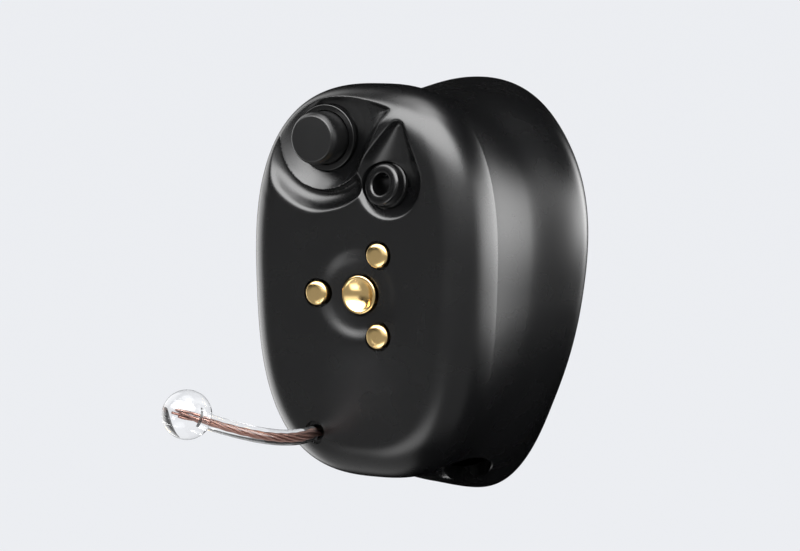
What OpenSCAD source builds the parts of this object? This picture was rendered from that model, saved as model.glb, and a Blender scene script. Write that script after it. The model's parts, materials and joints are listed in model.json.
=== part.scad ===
// Custom in-the-ear hearing aid with a push button, a rechargeable cell and a removal line.
// Millimetres. +Z is up and the face looks along -Y. The origin is the middle of the ear seat,
// on the canal's axis, behind the charging contacts.

/* [Face module] */
// Width of the face module
face_w = 13; // [11.2:0.1:15.2]
// Height of the face module
face_h = 19.2; // [16.5:0.1:22]
// Depth of the face module, from the flat front back to the seam
cap_depth = 2.3; // [2:0.05:2.7]
// Width of the rounded edge round the flat front
roll_w = 1.9; // [1.6:0.05:2.2]
// Thickness of the front plate
plate_t = 1.6; // [1.4:0.05:1.9]
// Depth of the lip that locates the face module in the shell
lip_depth = 0.8; // [0.6:0.05:1]
// Thickness of that lip
lip_t = 0.4; // [0.3:0.05:0.5]

/* [Shell] */
// Wall of the shell
wall = 0.8; // [0.6:0.05:1]
// Width across the bulge behind the seam
bulge_w = 13.65; // [12:0.1:16]
// Height of the bulge
bulge_h = 19.9; // [17.5:0.1:23]
// Depth of the bulge behind the face
bulge_depth = 7.4; // [6.4:0.1:8.6]
// Width of the heel, the last full section before the canal
heel_w = 12.3; // [10.8:0.1:13.8]
// Height of the heel
heel_h = 20.75; // [18:0.1:23.5]
// Depth of the heel behind the face
heel_depth = 10.1; // [9.1:0.1:11.3]
// Depth of the ear seat behind the face
seat_depth = 9; // [8:0.1:10.4]

/* [Canal] */
// Width of the canal tip
canal_w = 6.6; // [5.8:0.1:7.8]
// Height of the canal tip
canal_h = 8.6; // [7.6:0.1:9.8]
// Length of the canal from the ear seat to the tip
canal_reach = 9.3; // [8.2:0.1:11]
// Turn of the canal towards the wearer's nose
canal_yaw = 20; // [12:1:26]
// Wall across the canal tip
tip_wall = 0.9; // [0.7:0.05:1.1]

/* [Push button] */
// Diameter of the button
button_d = 2.54; // [2.2:0.02:2.9]
// How far the button stands in front of the face
button_proud = 0.8; // [0.5:0.05:0.9]
// Travel of the button
button_travel = 0.35; // [0.25:0.05:0.4]
// Diameter of the button's stem
stem_d = 1.2; // [1:0.05:1.4]
// Diameter of the collar round the button
collar_d = 3.2; // [3:0.05:3.5]
// Depth of the well that the button stands in
well_depth = 0.95; // [0.85:0.05:1.05]
// Diameter of the raised seat round the well
boss_d = 4.7; // [4.2:0.1:5.4]
// Depth of the raised seat below the face
boss_depth = 0.35; // [0.3:0.05:0.4]
// Diameter of the flat floor of the button's pocket
pocket_floor_d = 4; // [3.4:0.1:4.4]
// Depth of the button's pocket
pocket_depth = 1.15; // [1:0.05:1.25]
// Diameter and thickness of the seal round the stem
seal = [1.9, 0.25];
// Switch behind the button: outer diameter, height and depth of its cavity
switch_size = [2.1, 1, 0.6];
// Snap dome in the switch: diameter, height and thickness
dome = [1.6, 0.38, 0.06];

/* [Microphone] */
// Diameter of the microphone cover's front ring
mic_ring_d = 1.8; // [1.6:0.05:2.1]
// Diameter of the microphone cover's rear flange
mic_flange_d = 2.2; // [2.1:0.05:2.5]
// Bore of the microphone cover
mic_bore_d = 1.05; // [0.9:0.05:1.2]
// Length of the microphone cover's front ring
mic_ring_t = 0.55; // [0.45:0.05:0.65]
// Thickness of the microphone cover's flange
mic_flange_t = 0.2; // [0.15:0.01:0.25]
// Depth of the teardrop pocket round the microphone
mic_pocket_depth = 0.75; // [0.65:0.05:0.85]
// Diameter of the round end of the teardrop pocket
mic_pocket_d = 3.9; // [3.4:0.1:4.4]
// Turn of the microphone's axis away from the face's right side
mic_yaw = 10; // [5:1:14]
// Rise of the microphone's axis
mic_pitch = 12; // [6:1:15]
// Microphone capsule: width, height and depth
mic_case = [3, 2.2, 1.2];

/* [Charging contacts] */
// Circle that the three outer charging pins stand on
contact_circle_d = 4.5; // [4:0.1:5.2]
// Diameter of an outer charging pin
pin_d = 1.2; // [1:0.05:1.4]
// Diameter of the centre charging contact
centre_d = 1.85; // [1.6:0.05:2.1]
// How far the outer charging pins stand in front of the face
pin_proud = 0.2; // [0.15:0.05:0.25]
// Black gap round each charging contact
contact_gap = 0.06; // [0.05:0.01:0.08]
// Diameter of the shallow dish round the contacts
dish_d = 5; // [4.6:0.1:5.6]
// Depth of that dish
dish_depth = 0.25; // [0.2:0.01:0.3]
// Diameter of the contact carrier behind the front plate
carrier_d = 6.6; // [6:0.1:7.4]
// Thickness of the contact carrier
carrier_t = 0.9; // [0.75:0.05:1.05]
// Thickness of the charging magnet
magnet_t = 1.2; // [1:0.05:1.4]

/* [Cell] */
// Drop of the cell's middle below the charging contacts
cell_drop = 1.9; // [1.5:0.1:2.3]
// Shift of the cell's middle to the right of the charging contacts
cell_shift = 0.6; // [0.4:0.05:0.8]
// Diameter of the rechargeable coin cell
cell_d = 7.8; // [6.8:0.1:8.6]
// Thickness of the coin cell
cell_t = 4; // [3.4:0.1:4.7]
// Wall of the frame's ring round the cell
ring_t = 0.45; // [0.35:0.05:0.55]

/* [Circuit] */
// Circuit board: width, height and thickness
board = [6.4, 4.2, 0.5];
// Signal processor: width, height and thickness
processor = [2.8, 2.4, 0.7];
// Radio chip: width, height and thickness
radio = [2, 1.9, 0.6];
// Charging chip: width, height and thickness
charger = [1.6, 1.4, 0.5];
// Crystal: width, height and thickness
crystal_size = [1.6, 1, 0.4];
// Telecoil: length and diameter of its core
coil_core = [4.4, 0.5];
// Diameter of the telecoil's winding
coil_d = 1.1; // [0.9:0.05:1.3]

/* [Receiver] */
// Receiver: width, height and length
receiver_case = [2.7, 1.9, 5];
// Wall of the soft boot round the receiver
boot_t = 0.25; // [0.2:0.01:0.3]
// Outer diameter of the sound tube
sound_d = 2; // [1.8:0.05:2.3]
// Bore of the sound tube
sound_bore_d = 1.4; // [1.25:0.05:1.55]
// Bore of the wax guard
guard_bore_d = 0.7; // [0.6:0.02:0.8]
// Diameter of the wax guard's flange
guard_flange_d = 2.3; // [2.1:0.05:2.6]

/* [Vent] */
// Outer diameter of the vent tube
vent_d = 1.6; // [1.4:0.05:1.8]
// Bore of the vent tube
vent_bore_d = 1.2; // [1:0.05:1.3]
// Diameter of the scooped mouth of the vent
vent_mouth_d = 2.7; // [2.3:0.1:3.2]

/* [Removal line] */
// Diameter of the clear removal line
line_d = 0.77; // [0.68:0.01:0.9]
// Diameter of the antenna wire inside the line
core_d = 0.36; // [0.3:0.01:0.42]
// Diameter of the ball on the end of the line
ball_d = 2.35; // [2:0.05:2.8]
// Outer diameter of the bushing that the line leaves
bushing_d = 1.1; // [1:0.05:1.3]

/* [Clearances] */
// Gap left for wires between the magnet and the cell
wire_gap = 0.5; // [0.4:0.05:0.6]
// Radial gap round a piece that slides
slide_gap = 0.04; // [0.03:0.01:0.06]
// Gap between fixed pieces
seat_gap = 0.02; // [0.01:0.01:0.03]
// Room between the end of a bore and the screen behind it
screen_gap = 0.14; // [0.12:0.01:0.18]
// Diameter of an insulated wire
wire_d = 0.22; // [0.18:0.01:0.26]

/* [Hidden] */
$fn = 48;
overrun = 1;

// Points round each section of the housing, and sections per stretch between two stations
ring_points = 48;
steps = 3;
roll_steps = 5;

// Shares that place the housing's stations and shape its sections
face_rise_share = 0.026;
face_left_share = 0.51;
face_round_share = 0.74;
face_egg_share = 0.06;
valley_share = 0.41;
valley_pinch_share = 0.03;
bulge_shift_share = 0.065;
bulge_left_share = 0.457;
bulge_up_share = 0.495;
bulge_round_share = 0.862;
bulge_egg_share = 0.164;
bulge_lean_share = -0.03;
heel_shift_share = 0.1065;
heel_left_share = 0.555;
heel_up_share = 0.492;
heel_round_share = 0.96;
heel_egg_share = 0.2;
neck_share = 0.46;
neck_w_share = 1.36;
neck_h_share = 1.42;
shoulder_share = 0.45;
shoulder_close_share = 0.32;
shoulder_left_share = 0.54;
root_share = 0.74;
root_w_share = 1.09;
root_h_share = 1.08;
canal_round_share = 1;
wall_lead_share = 0.3;

// Places on the face, as shares of its half width and half height
half_w = face_w / 2;
half_h = face_h / 2;
face_mid = face_rise_share * face_h;
button_side_share = -0.318;
button_rise_share = 0.729;
pocket_side_share = -0.192;
pocket_rise_share = 0.665;
mic_side_share = 0.189;
mic_rise_share = 0.51;
line_side_share = -0.374;
line_rise_share = -0.763;
button_x = button_side_share * half_w;
button_z = face_mid + button_rise_share * half_h;
pocket_x = pocket_side_share * half_w;
pocket_z = face_mid + pocket_rise_share * half_h;
mic_x = mic_side_share * half_w;
mic_z = face_mid + mic_rise_share * half_h;
line_x = line_side_share * half_w;
line_z = face_mid + line_rise_share * half_h;

// Stations of the housing from the seam to the canal tip. Each holds: depth behind the face,
// sideways shift, half widths to the left and right, half heights up and down, lean, turn,
// roundness and egg share. A roundness of 1 is an ellipse, and a smaller one is squarer.
DEPTH = 0;
SHIFT = 1;
LEFT = 2;
RIGHT = 3;
UP = 4;
DOWN = 5;
LEAN = 6;
TURN = 7;
ROUND = 8;
EGG = 9;

function mix(a, b, share) = a + (b - a) * share;
function canal_station(share, w_share, h_share) = [
    seat_depth + share * canal_reach * cos(canal_yaw),
    -share * canal_reach * sin(canal_yaw),
    w_share * canal_w / 2,
    w_share * canal_w / 2,
    h_share * canal_h / 2,
    h_share * canal_h / 2,
    0,
    canal_yaw,
    canal_round_share,
    0
];

seam_station = [cap_depth, 0, face_left_share * face_w, (1 - face_left_share) * face_w,
    half_h + face_mid, half_h - face_mid, 0, 0, face_round_share, face_egg_share];
bulge_station = [bulge_depth, bulge_shift_share * bulge_w, bulge_left_share * bulge_w,
    (1 - bulge_left_share) * bulge_w, bulge_up_share * bulge_h, (1 - bulge_up_share) * bulge_h,
    bulge_lean_share, 0, bulge_round_share, bulge_egg_share];
heel_station = [heel_depth, heel_shift_share * heel_w, heel_left_share * heel_w,
    (1 - heel_left_share) * heel_w, heel_up_share * heel_h, (1 - heel_up_share) * heel_h,
    0, 0, heel_round_share, heel_egg_share];
valley_mix = mix(seam_station, bulge_station, valley_share);
valley_station = [for (i = [0:EGG])
    (i >= LEFT && i <= DOWN) ? valley_mix[i] - valley_pinch_share * (i < UP ? half_w : half_h)
        : valley_mix[i]];
neck_station = canal_station(neck_share, neck_w_share, neck_h_share);
root_station = canal_station(root_share, root_w_share, root_h_share);
tip_station = canal_station(1, 1, 1);
shoulder_place = mix(heel_station, neck_station, shoulder_share);
shoulder_size = mix(heel_station, neck_station, shoulder_close_share);
shoulder_station = [for (i = [0:EGG])
    (i == LEFT) ? mix(heel_station[i], neck_station[i], shoulder_left_share)
        : (i > LEFT && i <= DOWN) ? shoulder_size[i] : shoulder_place[i]];
stations = [seam_station, valley_station, bulge_station, heel_station, shoulder_station,
    neck_station, root_station, tip_station];
last_station = len(stations) - 1;

// A smooth curve through the stations, at a real station number
function station_at(s) =
    let (i = min(floor(s), last_station - 1), u = s - i,
        p0 = stations[max(i - 1, 0)], p1 = stations[i],
        p2 = stations[i + 1], p3 = stations[min(i + 2, last_station)])
    (2 * p1 + (p2 - p0) * u + (2 * p0 - 5 * p1 + 4 * p2 - p3) * u * u
        + (3 * p1 - p0 - 3 * p2 + p3) * u * u * u) / 2;

function signed_power(v, p) = sign(v) * pow(abs(v), p);

// One section of the housing, drawn in by inset, at the depth given or its own
function section(row, inset = 0, depth = undef) =
    [for (i = [0:ring_points - 1])
        let (t = 360 * i / ring_points,
            c = signed_power(cos(t), row[ROUND]),
            s = signed_power(sin(t), row[ROUND]),
            a = mix(row[LEFT], row[RIGHT], (1 + c) / 2) * (1 + row[EGG] * s) - inset,
            b = mix(row[DOWN], row[UP], (1 + s) / 2) - inset,
            x = a * c - row[LEAN] * b * s)
        [row[SHIFT] + x * cos(row[TURN]),
            (depth == undef ? row[DEPTH] : depth) + x * sin(row[TURN]) - seat_depth,
            b * s]];

// A closed skin over rings of equal count, with flat ends, or closed on itself
module skin(rings, ends = true) {
    n = len(rings[0]);
    m = len(rings);
    sides = [for (i = [0:m - (ends ? 2 : 1)], j = [0:n - 1])
        let (k = (j + 1) % n, p = i * n, q = ((i + 1) % m) * n)
        each [[p + j, p + k, q + k], [p + j, q + k, q + j]]];
    caps = ends ? [[for (j = [n - 1:-1:0]) j], [for (j = [0:n - 1]) (m - 1) * n + j]] : [];
    polyhedron([for (ring = rings) each ring], concat(sides, caps));
}

// Places a piece on the face: local +Z runs into the head and local X is the face's X
module inward(x = 0, z = 0, depth = 0)
    translate([x, depth - seat_depth, z]) rotate([-90, 0, 0]) children();

// Places a piece on the microphone's axis: local Z is 0 at its cover's front rim
mic_front = mic_pocket_depth - mic_ring_t - mic_flange_t / 2;
module on_mic(z = 0)
    inward(mic_x, mic_z, mic_front) rotate([-mic_pitch, mic_yaw, 0]) translate([0, 0, z]) children();

// Places a piece on the canal: local +Z runs towards the tip
module on_canal(reach = 0, up = 0)
    rotate([0, 0, canal_yaw]) translate([0, reach, up]) rotate([-90, 0, 0]) children();

// Turns a piece so that its local +Z runs along v
module aim(v)
    rotate([0, acos(v[2] / norm(v)), atan2(v[1], v[0])]) children();

module tube(outer_d, bore_d, h)
    difference() {
        cylinder(d = outer_d, h = h);
        translate([0, 0, -overrun]) cylinder(d = bore_d, h = h + 2 * overrun);
    }

module plate(size)
    translate([-size[0] / 2, -size[1] / 2, 0]) cube(size);

// Depths behind the face that the pieces inside share
carrier_back = plate_t + seat_gap + carrier_t;
magnet_back = carrier_back + seat_gap + magnet_t;
cell_depth = magnet_back + wire_gap;
cell_back = cell_depth + cell_t;
cell_z = -cell_drop;
button_back = well_depth - button_travel - seat_gap;
stem_end = plate_t + seat_gap + switch_size[2] - seat_gap - dome[1] - seat_gap;

// The front of the housing: a rounded cap with its plate, its side wall and the locating lip
lip_inset = wall + seat_gap;
module faceplate_blank() {
    lip_end = cap_depth + lip_depth;
    skin(concat(
        [for (i = [0:roll_steps])
            let (a = 90 * i / roll_steps)
            section(seam_station, roll_w * (1 - sin(a)), cap_depth * (1 - cos(a)))],
        [section(seam_station, lip_inset),
            section(seam_station, lip_inset, lip_end),
            section(seam_station, lip_inset + lip_t, lip_end),
            section(seam_station, lip_inset + lip_t, plate_t)]
    ));
}

module button_pocket() {
    wall_r = pocket_depth;
    difference() {
        inward(pocket_x, pocket_z)
            rotate_extrude()
                intersection() {
                    union() {
                        translate([pocket_floor_d / 2, 0]) circle(r = wall_r);
                        translate([0, -wall_r]) square([pocket_floor_d / 2, 2 * wall_r]);
                    }
                    translate([0, -wall_r]) square([pocket_floor_d / 2 + wall_r, 2 * wall_r]);
                }
        inward(button_x, button_z, boss_depth) cylinder(d = boss_d, h = pocket_depth);
    }
}

// The teardrop's tip, its width there and its narrowing towards the floor
mic_tip_shares = [0.286, 0.81];
tip_share = 0.2;
taper_share = 0.7;
module mic_pocket() {
    tip_x = mic_tip_shares[0] * half_w;
    tip_z = face_mid + mic_tip_shares[1] * half_h;
    inward(0, 0, -overrun)
        hull() {
            translate([mic_x + seat_gap, -mic_z, 0])
                cylinder(d = mic_pocket_d, h = overrun);
            translate([mic_x, -mic_z, overrun])
                cylinder(d1 = mic_pocket_d, d2 = taper_share * mic_pocket_d, h = mic_pocket_depth,
                    $fn = 32);
            translate([tip_x, -tip_z, overrun])
                cylinder(d1 = tip_share * mic_pocket_d, d2 = tip_share * mic_pocket_d / 2,
                    h = mic_pocket_depth / 2, $fn = 32);
        }
}

// Charging contacts stand at these angles round the centre contact
pin_angles = [180, 60, -60];
module each_pin()
    for (a = pin_angles)
        inward(contact_circle_d / 2 * cos(a), contact_circle_d / 2 * sin(a)) children();

pin_shank_share = 0.5;
centre_shank_share = 0.4;
pin_head_t = pin_d / 2;
pin_shank_d = pin_shank_share * pin_d;
centre_shank_d = centre_shank_share * centre_d;
tail_depth = carrier_back + pin_shank_d / 2;

module faceplate() {
    well_d = collar_d + 2 * contact_gap;
    dish_r = (pow(dish_d / 2, 2) + pow(dish_depth, 2)) / (2 * dish_depth);
    hole_h = plate_t + 2 * overrun;
    color([0.05, 0.05, 0.055])
        difference() {
            faceplate_blank();
            button_pocket();
            mic_pocket();
            inward(button_x, button_z, -overrun) cylinder(d = well_d, h = overrun + well_depth);
            inward(button_x, button_z) cylinder(d = seal[0] + 2 * seat_gap, h = well_depth + seal[1]);
            inward(button_x, button_z, -overrun) cylinder(d = stem_d + 2 * slide_gap, h = hole_h);
            on_mic(-overrun)
                cylinder(d = mic_flange_d + 2 * slide_gap, h = overrun + mic_seat_z + seat_gap);
            on_mic() cylinder(d = mic_sleeve_d + 2 * seat_gap, h = hole_h);
            inward(0, 0, dish_depth - dish_r) sphere(r = dish_r, $fn = 96);
            each_pin() {
                translate([0, 0, -overrun])
                    cylinder(d = pin_d + 2 * contact_gap, h = overrun + pin_head_t + seat_gap);
                cylinder(d = pin_shank_d + 2 * seat_gap, h = hole_h);
            }
            inward(0, 0, -overrun)
                cylinder(d = centre_d + 2 * contact_gap, h = overrun + pin_head_t + seat_gap);
            inward() cylinder(d = centre_shank_d + 2 * seat_gap, h = hole_h);
            inward(line_x, line_z, -overrun) cylinder(d = bushing_d + 2 * seat_gap, h = hole_h);
        }
}

// A section of the cavity: the radii come from a little further back, so that the wall stays
// full where the housing closes in towards the canal
function cavity_section(s) =
    let (here = station_at(s),
        lead = wall_lead_share * max(0, min(1, s - 2)),
        there = station_at(min(last_station, s + lead)))
    section([for (i = [0:EGG]) (i >= LEFT && i <= DOWN) ? min(here[i], there[i]) : here[i]], wall);

module shell_blank() {
    cavity_end = last_station - tip_wall / (canal_reach * (1 - root_share));
    cavity_start = 0.75;
    cavity_steps = 12;
    skin(concat(
        [for (i = [cavity_steps:-1:0])
            cavity_section(mix(cavity_start, cavity_end, i / cavity_steps))],
        [section(seam_station, wall, cap_depth + lip_depth + seat_gap),
            section(seam_station, wall)],
        [for (i = [0:last_station * steps]) section(station_at(i / steps))]
    ));
}

// The vent runs straight from its mouth under the bulge to the canal tip
vent_mouth_shares = [0.2, 0.81, -0.462];
vent_up_share = -0.2;
sound_up_share = 0.2;
vent_start = [vent_mouth_shares[0] * bulge_w, vent_mouth_shares[1] * bulge_depth - seat_depth,
    vent_mouth_shares[2] * bulge_h];
vent_end = [-canal_reach * sin(canal_yaw), canal_reach * cos(canal_yaw), vent_up_share * canal_h];
vent_length = norm(vent_end - vent_start);
vent_tube_shares = [0.15, 0.96];
sound_up = sound_up_share * canal_h;
module on_vent(share = 0)
    translate(vent_start) aim(vent_end - vent_start) translate([0, 0, share * vent_length]) children();

module shell() {
    color([0.045, 0.045, 0.05])
        difference() {
            shell_blank();
            on_vent() translate([0, 0, -vent_mouth_d])
                cylinder(d = vent_d + 2 * seat_gap, h = vent_length + 2 * vent_mouth_d);
            on_vent() sphere(d = vent_mouth_d);
            on_canal(canal_reach - 2 * tip_wall, sound_up)
                cylinder(d = sound_d + 2 * seat_gap, h = 2 * tip_wall + overrun);
        }
}

bevel_share = 0.07;
module button_cap() {
    bevel = bevel_share * button_d;
    color([0.06, 0.06, 0.065])
        inward(button_x, button_z, -button_proud) {
            cylinder(d1 = button_d - 2 * bevel, d2 = button_d, h = bevel);
            translate([0, 0, bevel]) cylinder(d = button_d, h = button_proud + button_back - bevel);
            cylinder(d = stem_d, h = button_proud + stem_end);
        }
}

collar_share = 0.47;
module button_collar() {
    collar_t = collar_share * well_depth;
    color([0.08, 0.08, 0.085])
        inward(button_x, button_z, well_depth - collar_t)
            tube(collar_d, button_d + 2 * slide_gap, collar_t);
}

module button_seal() {
    color([0.15, 0.15, 0.16])
        inward(button_x, button_z, well_depth + seat_gap)
            tube(seal[0], stem_d + 2 * slide_gap, seal[1] - seat_gap);
}

module switch_body() {
    color([0.2, 0.2, 0.22])
        inward(button_x, button_z, plate_t + seat_gap)
            difference() {
                cylinder(d = switch_size[0], h = switch_size[1]);
                translate([0, 0, -overrun])
                    cylinder(d = dome[0] + 2 * slide_gap, h = overrun + switch_size[2]);
            }
}

// A thin domed disc with its rim on the switch's floor
module snap_dome() {
    dome_r = (pow(dome[0] / 2, 2) + pow(dome[1], 2)) / (2 * dome[1]);
    color([0.75, 0.75, 0.72])
        inward(button_x, button_z, plate_t + switch_size[2] - dome[1])
            intersection() {
                translate([0, 0, dome_r])
                    difference() {
                        sphere(r = dome_r);
                        sphere(r = dome_r - dome[2]);
                    }
                cylinder(d = dome[0], h = dome[1]);
            }
}

// Places along the microphone's axis
mic_seat_z = mic_ring_t + mic_flange_t;
mic_barrel_share = 0.19;
mic_barrel_wall = mic_barrel_share * mic_bore_d;
mic_barrel_d = mic_bore_d + 2 * mic_barrel_wall;
mic_barrel_l = mic_ring_t + mic_flange_t;
mic_sleeve_d = mic_barrel_d + 2 * slide_gap + 2 * mic_barrel_wall;
mic_sleeve_end = plate_t + mic_flange_t;
gasket_t = mic_flange_t;
capsule_z = mic_sleeve_end + gasket_t + 2 * seat_gap;
module mic_cover() {
    color([0.07, 0.07, 0.075])
        on_mic()
            difference() {
                union() {
                    cylinder(d = mic_ring_d, h = mic_ring_t + mic_flange_t);
                    translate([0, 0, mic_ring_t]) cylinder(d = mic_flange_d, h = mic_flange_t);
                    translate([0, 0, mic_seat_z]) cylinder(d = mic_barrel_d, h = mic_barrel_l);
                }
                translate([0, 0, -overrun])
                    cylinder(d = mic_bore_d, h = mic_seat_z + mic_barrel_l + 2 * overrun);
            }
}

module mic_screen() {
    color([0.3, 0.3, 0.3])
        on_mic(mic_seat_z + mic_barrel_l + screen_gap)
            cylinder(d = mic_barrel_d, h = mic_flange_t / 3);
}

module mic_sleeve() {
    color([0.1, 0.1, 0.1])
        on_mic(mic_seat_z + 2 * seat_gap)
            tube(mic_sleeve_d, mic_barrel_d + 2 * slide_gap, mic_sleeve_end - mic_seat_z - 2 * seat_gap);
}

module mic_gasket() {
    color([0.25, 0.25, 0.27])
        on_mic(mic_sleeve_end + seat_gap) tube(mic_sleeve_d, mic_barrel_d, gasket_t);
}

module microphone() {
    color([0.8, 0.78, 0.7])
        on_mic(capsule_z) plate(mic_case);
}

module charging_pins() {
    bevel = bevel_share * pin_d;
    color([0.85, 0.66, 0.3])
        each_pin() {
            translate([0, 0, -pin_proud]) {
                cylinder(d1 = pin_d - 2 * bevel, d2 = pin_d, h = bevel);
                translate([0, 0, bevel]) cylinder(d = pin_d, h = pin_proud + pin_head_t - bevel);
            }
            cylinder(d = pin_shank_d, h = tail_depth);
        }
}

// The centre contact's hollow front: its place in the dish, its depth and its width
centre_front_share = 0.4;
hollow_depth_share = 0.16;
hollow_width_share = 0.87;
module centre_contact() {
    front = centre_front_share * dish_depth;
    hollow_depth = hollow_depth_share * centre_d;
    hollow_d = hollow_width_share * centre_d;
    hollow_r = (pow(hollow_d / 2, 2) + pow(hollow_depth, 2)) / (2 * hollow_depth);
    color([0.85, 0.66, 0.3])
        difference() {
            inward(0, 0, front) {
                cylinder(d = centre_d, h = pin_head_t - front);
                cylinder(d = centre_shank_d, h = tail_depth - front);
            }
            inward(0, 0, front + hollow_depth - hollow_r) sphere(r = hollow_r);
        }
}

module contact_carrier() {
    color([0.25, 0.25, 0.28])
        difference() {
            inward(0, 0, plate_t + seat_gap) cylinder(d = carrier_d, h = carrier_t);
            each_pin() cylinder(d = pin_shank_d + 2 * seat_gap, h = carrier_back + overrun);
            inward() cylinder(d = centre_shank_d + 2 * seat_gap, h = carrier_back + overrun);
        }
}

magnet_clear_share = 2.3;
magnet_d = contact_circle_d - magnet_clear_share * pin_shank_d;
magnet_bore_d = centre_shank_d * 2;
module charge_magnet() {
    color([0.6, 0.6, 0.62])
        inward(0, 0, carrier_back + seat_gap) tube(magnet_d, magnet_bore_d, magnet_t);
}

cell_step_share = 0.09;
cell_button_share = 0.72;
cell_gasket_share = 0.9;
cell_step = cell_step_share * cell_t;
cell_button_d = cell_button_share * cell_d;
module coin_cell() {
    color([0.78, 0.78, 0.8])
        inward(cell_shift, cell_z, cell_depth) {
            cylinder(d = cell_button_d, h = cell_t);
            translate([0, 0, cell_step]) cylinder(d = cell_d, h = cell_t - cell_step);
        }
}

module cell_gasket() {
    color([0.15, 0.3, 0.6])
        inward(cell_shift, cell_z, cell_depth + cell_step / 2)
            tube(cell_gasket_share * cell_d, cell_button_d + 2 * seat_gap, cell_step / 2 - seat_gap);
}

// Two welded tabs carry the cell's current up to the leads
tab_t = cell_step / 3;
tab_w = cell_d / 9;
front_tab_x = -tab_w;
back_tab_x = tab_w;
ring_inner_r = cell_d / 2 + seat_gap;
ring_outer_r = ring_inner_r + ring_t;
tab_top = cell_z + ring_outer_r + tab_t;
module cell_tabs() {
    color([0.7, 0.68, 0.6]) {
        inward(cell_shift + front_tab_x - tab_w / 2, tab_top, cell_depth - seat_gap - tab_t)
            cube([tab_w, ring_outer_r + tab_t, tab_t]);
        inward(cell_shift + back_tab_x - tab_w / 2, tab_top, cell_back + seat_gap)
            cube([tab_w, ring_outer_r + tab_t, tab_t]);
    }
}

// The frame holds the cell in a ring, stands on the contact carrier and carries the board
ring_depth = cell_depth + cell_step;
ring_l_share = 0.85;
ring_l = ring_l_share * cell_t;
ring_mid_r = (ring_inner_r + ring_outer_r) / 2;
post_angle = 26;
post_share = 0.8;
ear_w_share = 0.09;
ear_x_share = 0.31;
ear_w = ear_w_share * cell_d;
ear_x = ear_x_share * cell_d;
board_depth = cell_depth + cell_t / 2;
board_back = board_depth + board[2];
board_low = cell_z + ring_outer_r + ring_t;
board_mid = board_low + board[1] / 2;
module inner_frame() {
    ear_low = cell_z + sqrt(pow(ring_inner_r, 2) - pow(ear_x - ear_w / 2, 2)) + seat_gap;
    ear_top = board_low + 2 * ring_t;
    color([0.85, 0.85, 0.82]) {
        inward(cell_shift, cell_z, ring_depth) tube(2 * ring_outer_r, 2 * ring_inner_r, ring_l);
        for (side = [-1, 1]) {
            inward(cell_shift + side * ring_mid_r * sin(post_angle), cell_z + ring_mid_r * cos(post_angle),
                carrier_back + seat_gap)
                cylinder(d = post_share * ring_t, h = ring_depth - carrier_back + ring_t / 2);
            inward(cell_shift + side * ear_x - ear_w / 2, ear_top, board_back + seat_gap)
                cube([ear_w, ear_top - ear_low, ear_w]);
        }
    }
}

module circuit_board() {
    color([0.1, 0.35, 0.2])
        inward(cell_shift, board_mid, board_depth) plate(board);
}

// Chips stand on the front of the board at shares of its half width and half height
processor_shares = [-0.46, 0.2];
radio_shares = [0.4, 0.42];
charger_shares = [0.4, -0.52];
crystal_shares = [-0.46, -0.7];
passive_side_share = 0.033;
passive_rise_shares = [-0.3, -0.02, 0.26, 0.54, 0.82];
module on_board(shares, t)
    inward(cell_shift + shares[0] * board[0] / 2, board_mid + shares[1] * board[1] / 2,
        board_depth - seat_gap - t)
        children();

module processor_chip() {
    color([0.12, 0.12, 0.13]) on_board(processor_shares, processor[2]) plate(processor);
}

module radio_chip() {
    color([0.16, 0.16, 0.18]) on_board(radio_shares, radio[2]) plate(radio);
}

module charger_chip() {
    color([0.14, 0.14, 0.15]) on_board(charger_shares, charger[2]) plate(charger);
}

module crystal() {
    color([0.8, 0.8, 0.82]) on_board(crystal_shares, crystal_size[2]) plate(crystal_size);
}

module passives() {
    size = [board[2] / 2, board[2], board[2] / 2];
    color([0.65, 0.5, 0.35])
        for (z_share = passive_rise_shares)
            on_board([passive_side_share, z_share], size[2]) plate(size);
}

// The telecoil lies across the back of the board
coil_depth = board_back + seat_gap + coil_d / 2;
coil_z = board_mid + board[1] / 5;
module on_coil(l)
    inward(cell_shift - l / 2, coil_z, coil_depth) rotate([0, 90, 0]) children();

module telecoil_core() {
    color([0.2, 0.2, 0.2])
        on_coil(coil_core[0]) cylinder(d = coil_core[1], h = coil_core[0]);
}

winding_share = 0.7;
module telecoil_winding() {
    winding_l = winding_share * coil_core[0];
    color([0.72, 0.4, 0.2])
        on_coil(winding_l) tube(coil_d, coil_core[1] + 2 * seat_gap, winding_l);
}

// The receiver sits in the canal, placed back from the tip
guard_share = 0.7;
spout_share = 0.45;
spout_bore_share = 0.75;
guard_l = guard_share * sound_d;
spout_l = spout_share * sound_d;
guard_flange_share = 0.11;
guard_flange_t = guard_flange_share * guard_flange_d;
screen_t = guard_flange_t / 3;
spout_end = canal_reach - guard_l - 2 * screen_gap - screen_t;
receiver_front = spout_end - spout_l;
receiver_back = receiver_front - receiver_case[2];
module receiver() {
    color([0.75, 0.75, 0.78])
        on_canal(receiver_back, sound_up) plate(receiver_case);
}

module receiver_boot() {
    outer = [receiver_case[0] + 2 * boot_t, receiver_case[1] + 2 * boot_t,
        receiver_case[2] - boot_t];
    hollow = [receiver_case[0] + 2 * seat_gap, receiver_case[1] + 2 * seat_gap,
        receiver_case[2]];
    color([0.3, 0.3, 0.33])
        on_canal(receiver_front - outer[2] + boot_t, sound_up)
            difference() {
                plate(outer);
                translate([0, 0, seat_gap - boot_t - overrun])
                    plate([hollow[0], hollow[1], outer[2] + overrun]);
                cylinder(d = sound_bore_d, h = outer[2] + overrun);
            }
}

module receiver_spout() {
    color([0.7, 0.7, 0.72])
        on_canal(receiver_front + seat_gap, sound_up)
            tube(sound_bore_d - 2 * seat_gap, spout_bore_share * sound_bore_d, spout_l - seat_gap);
}

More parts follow.
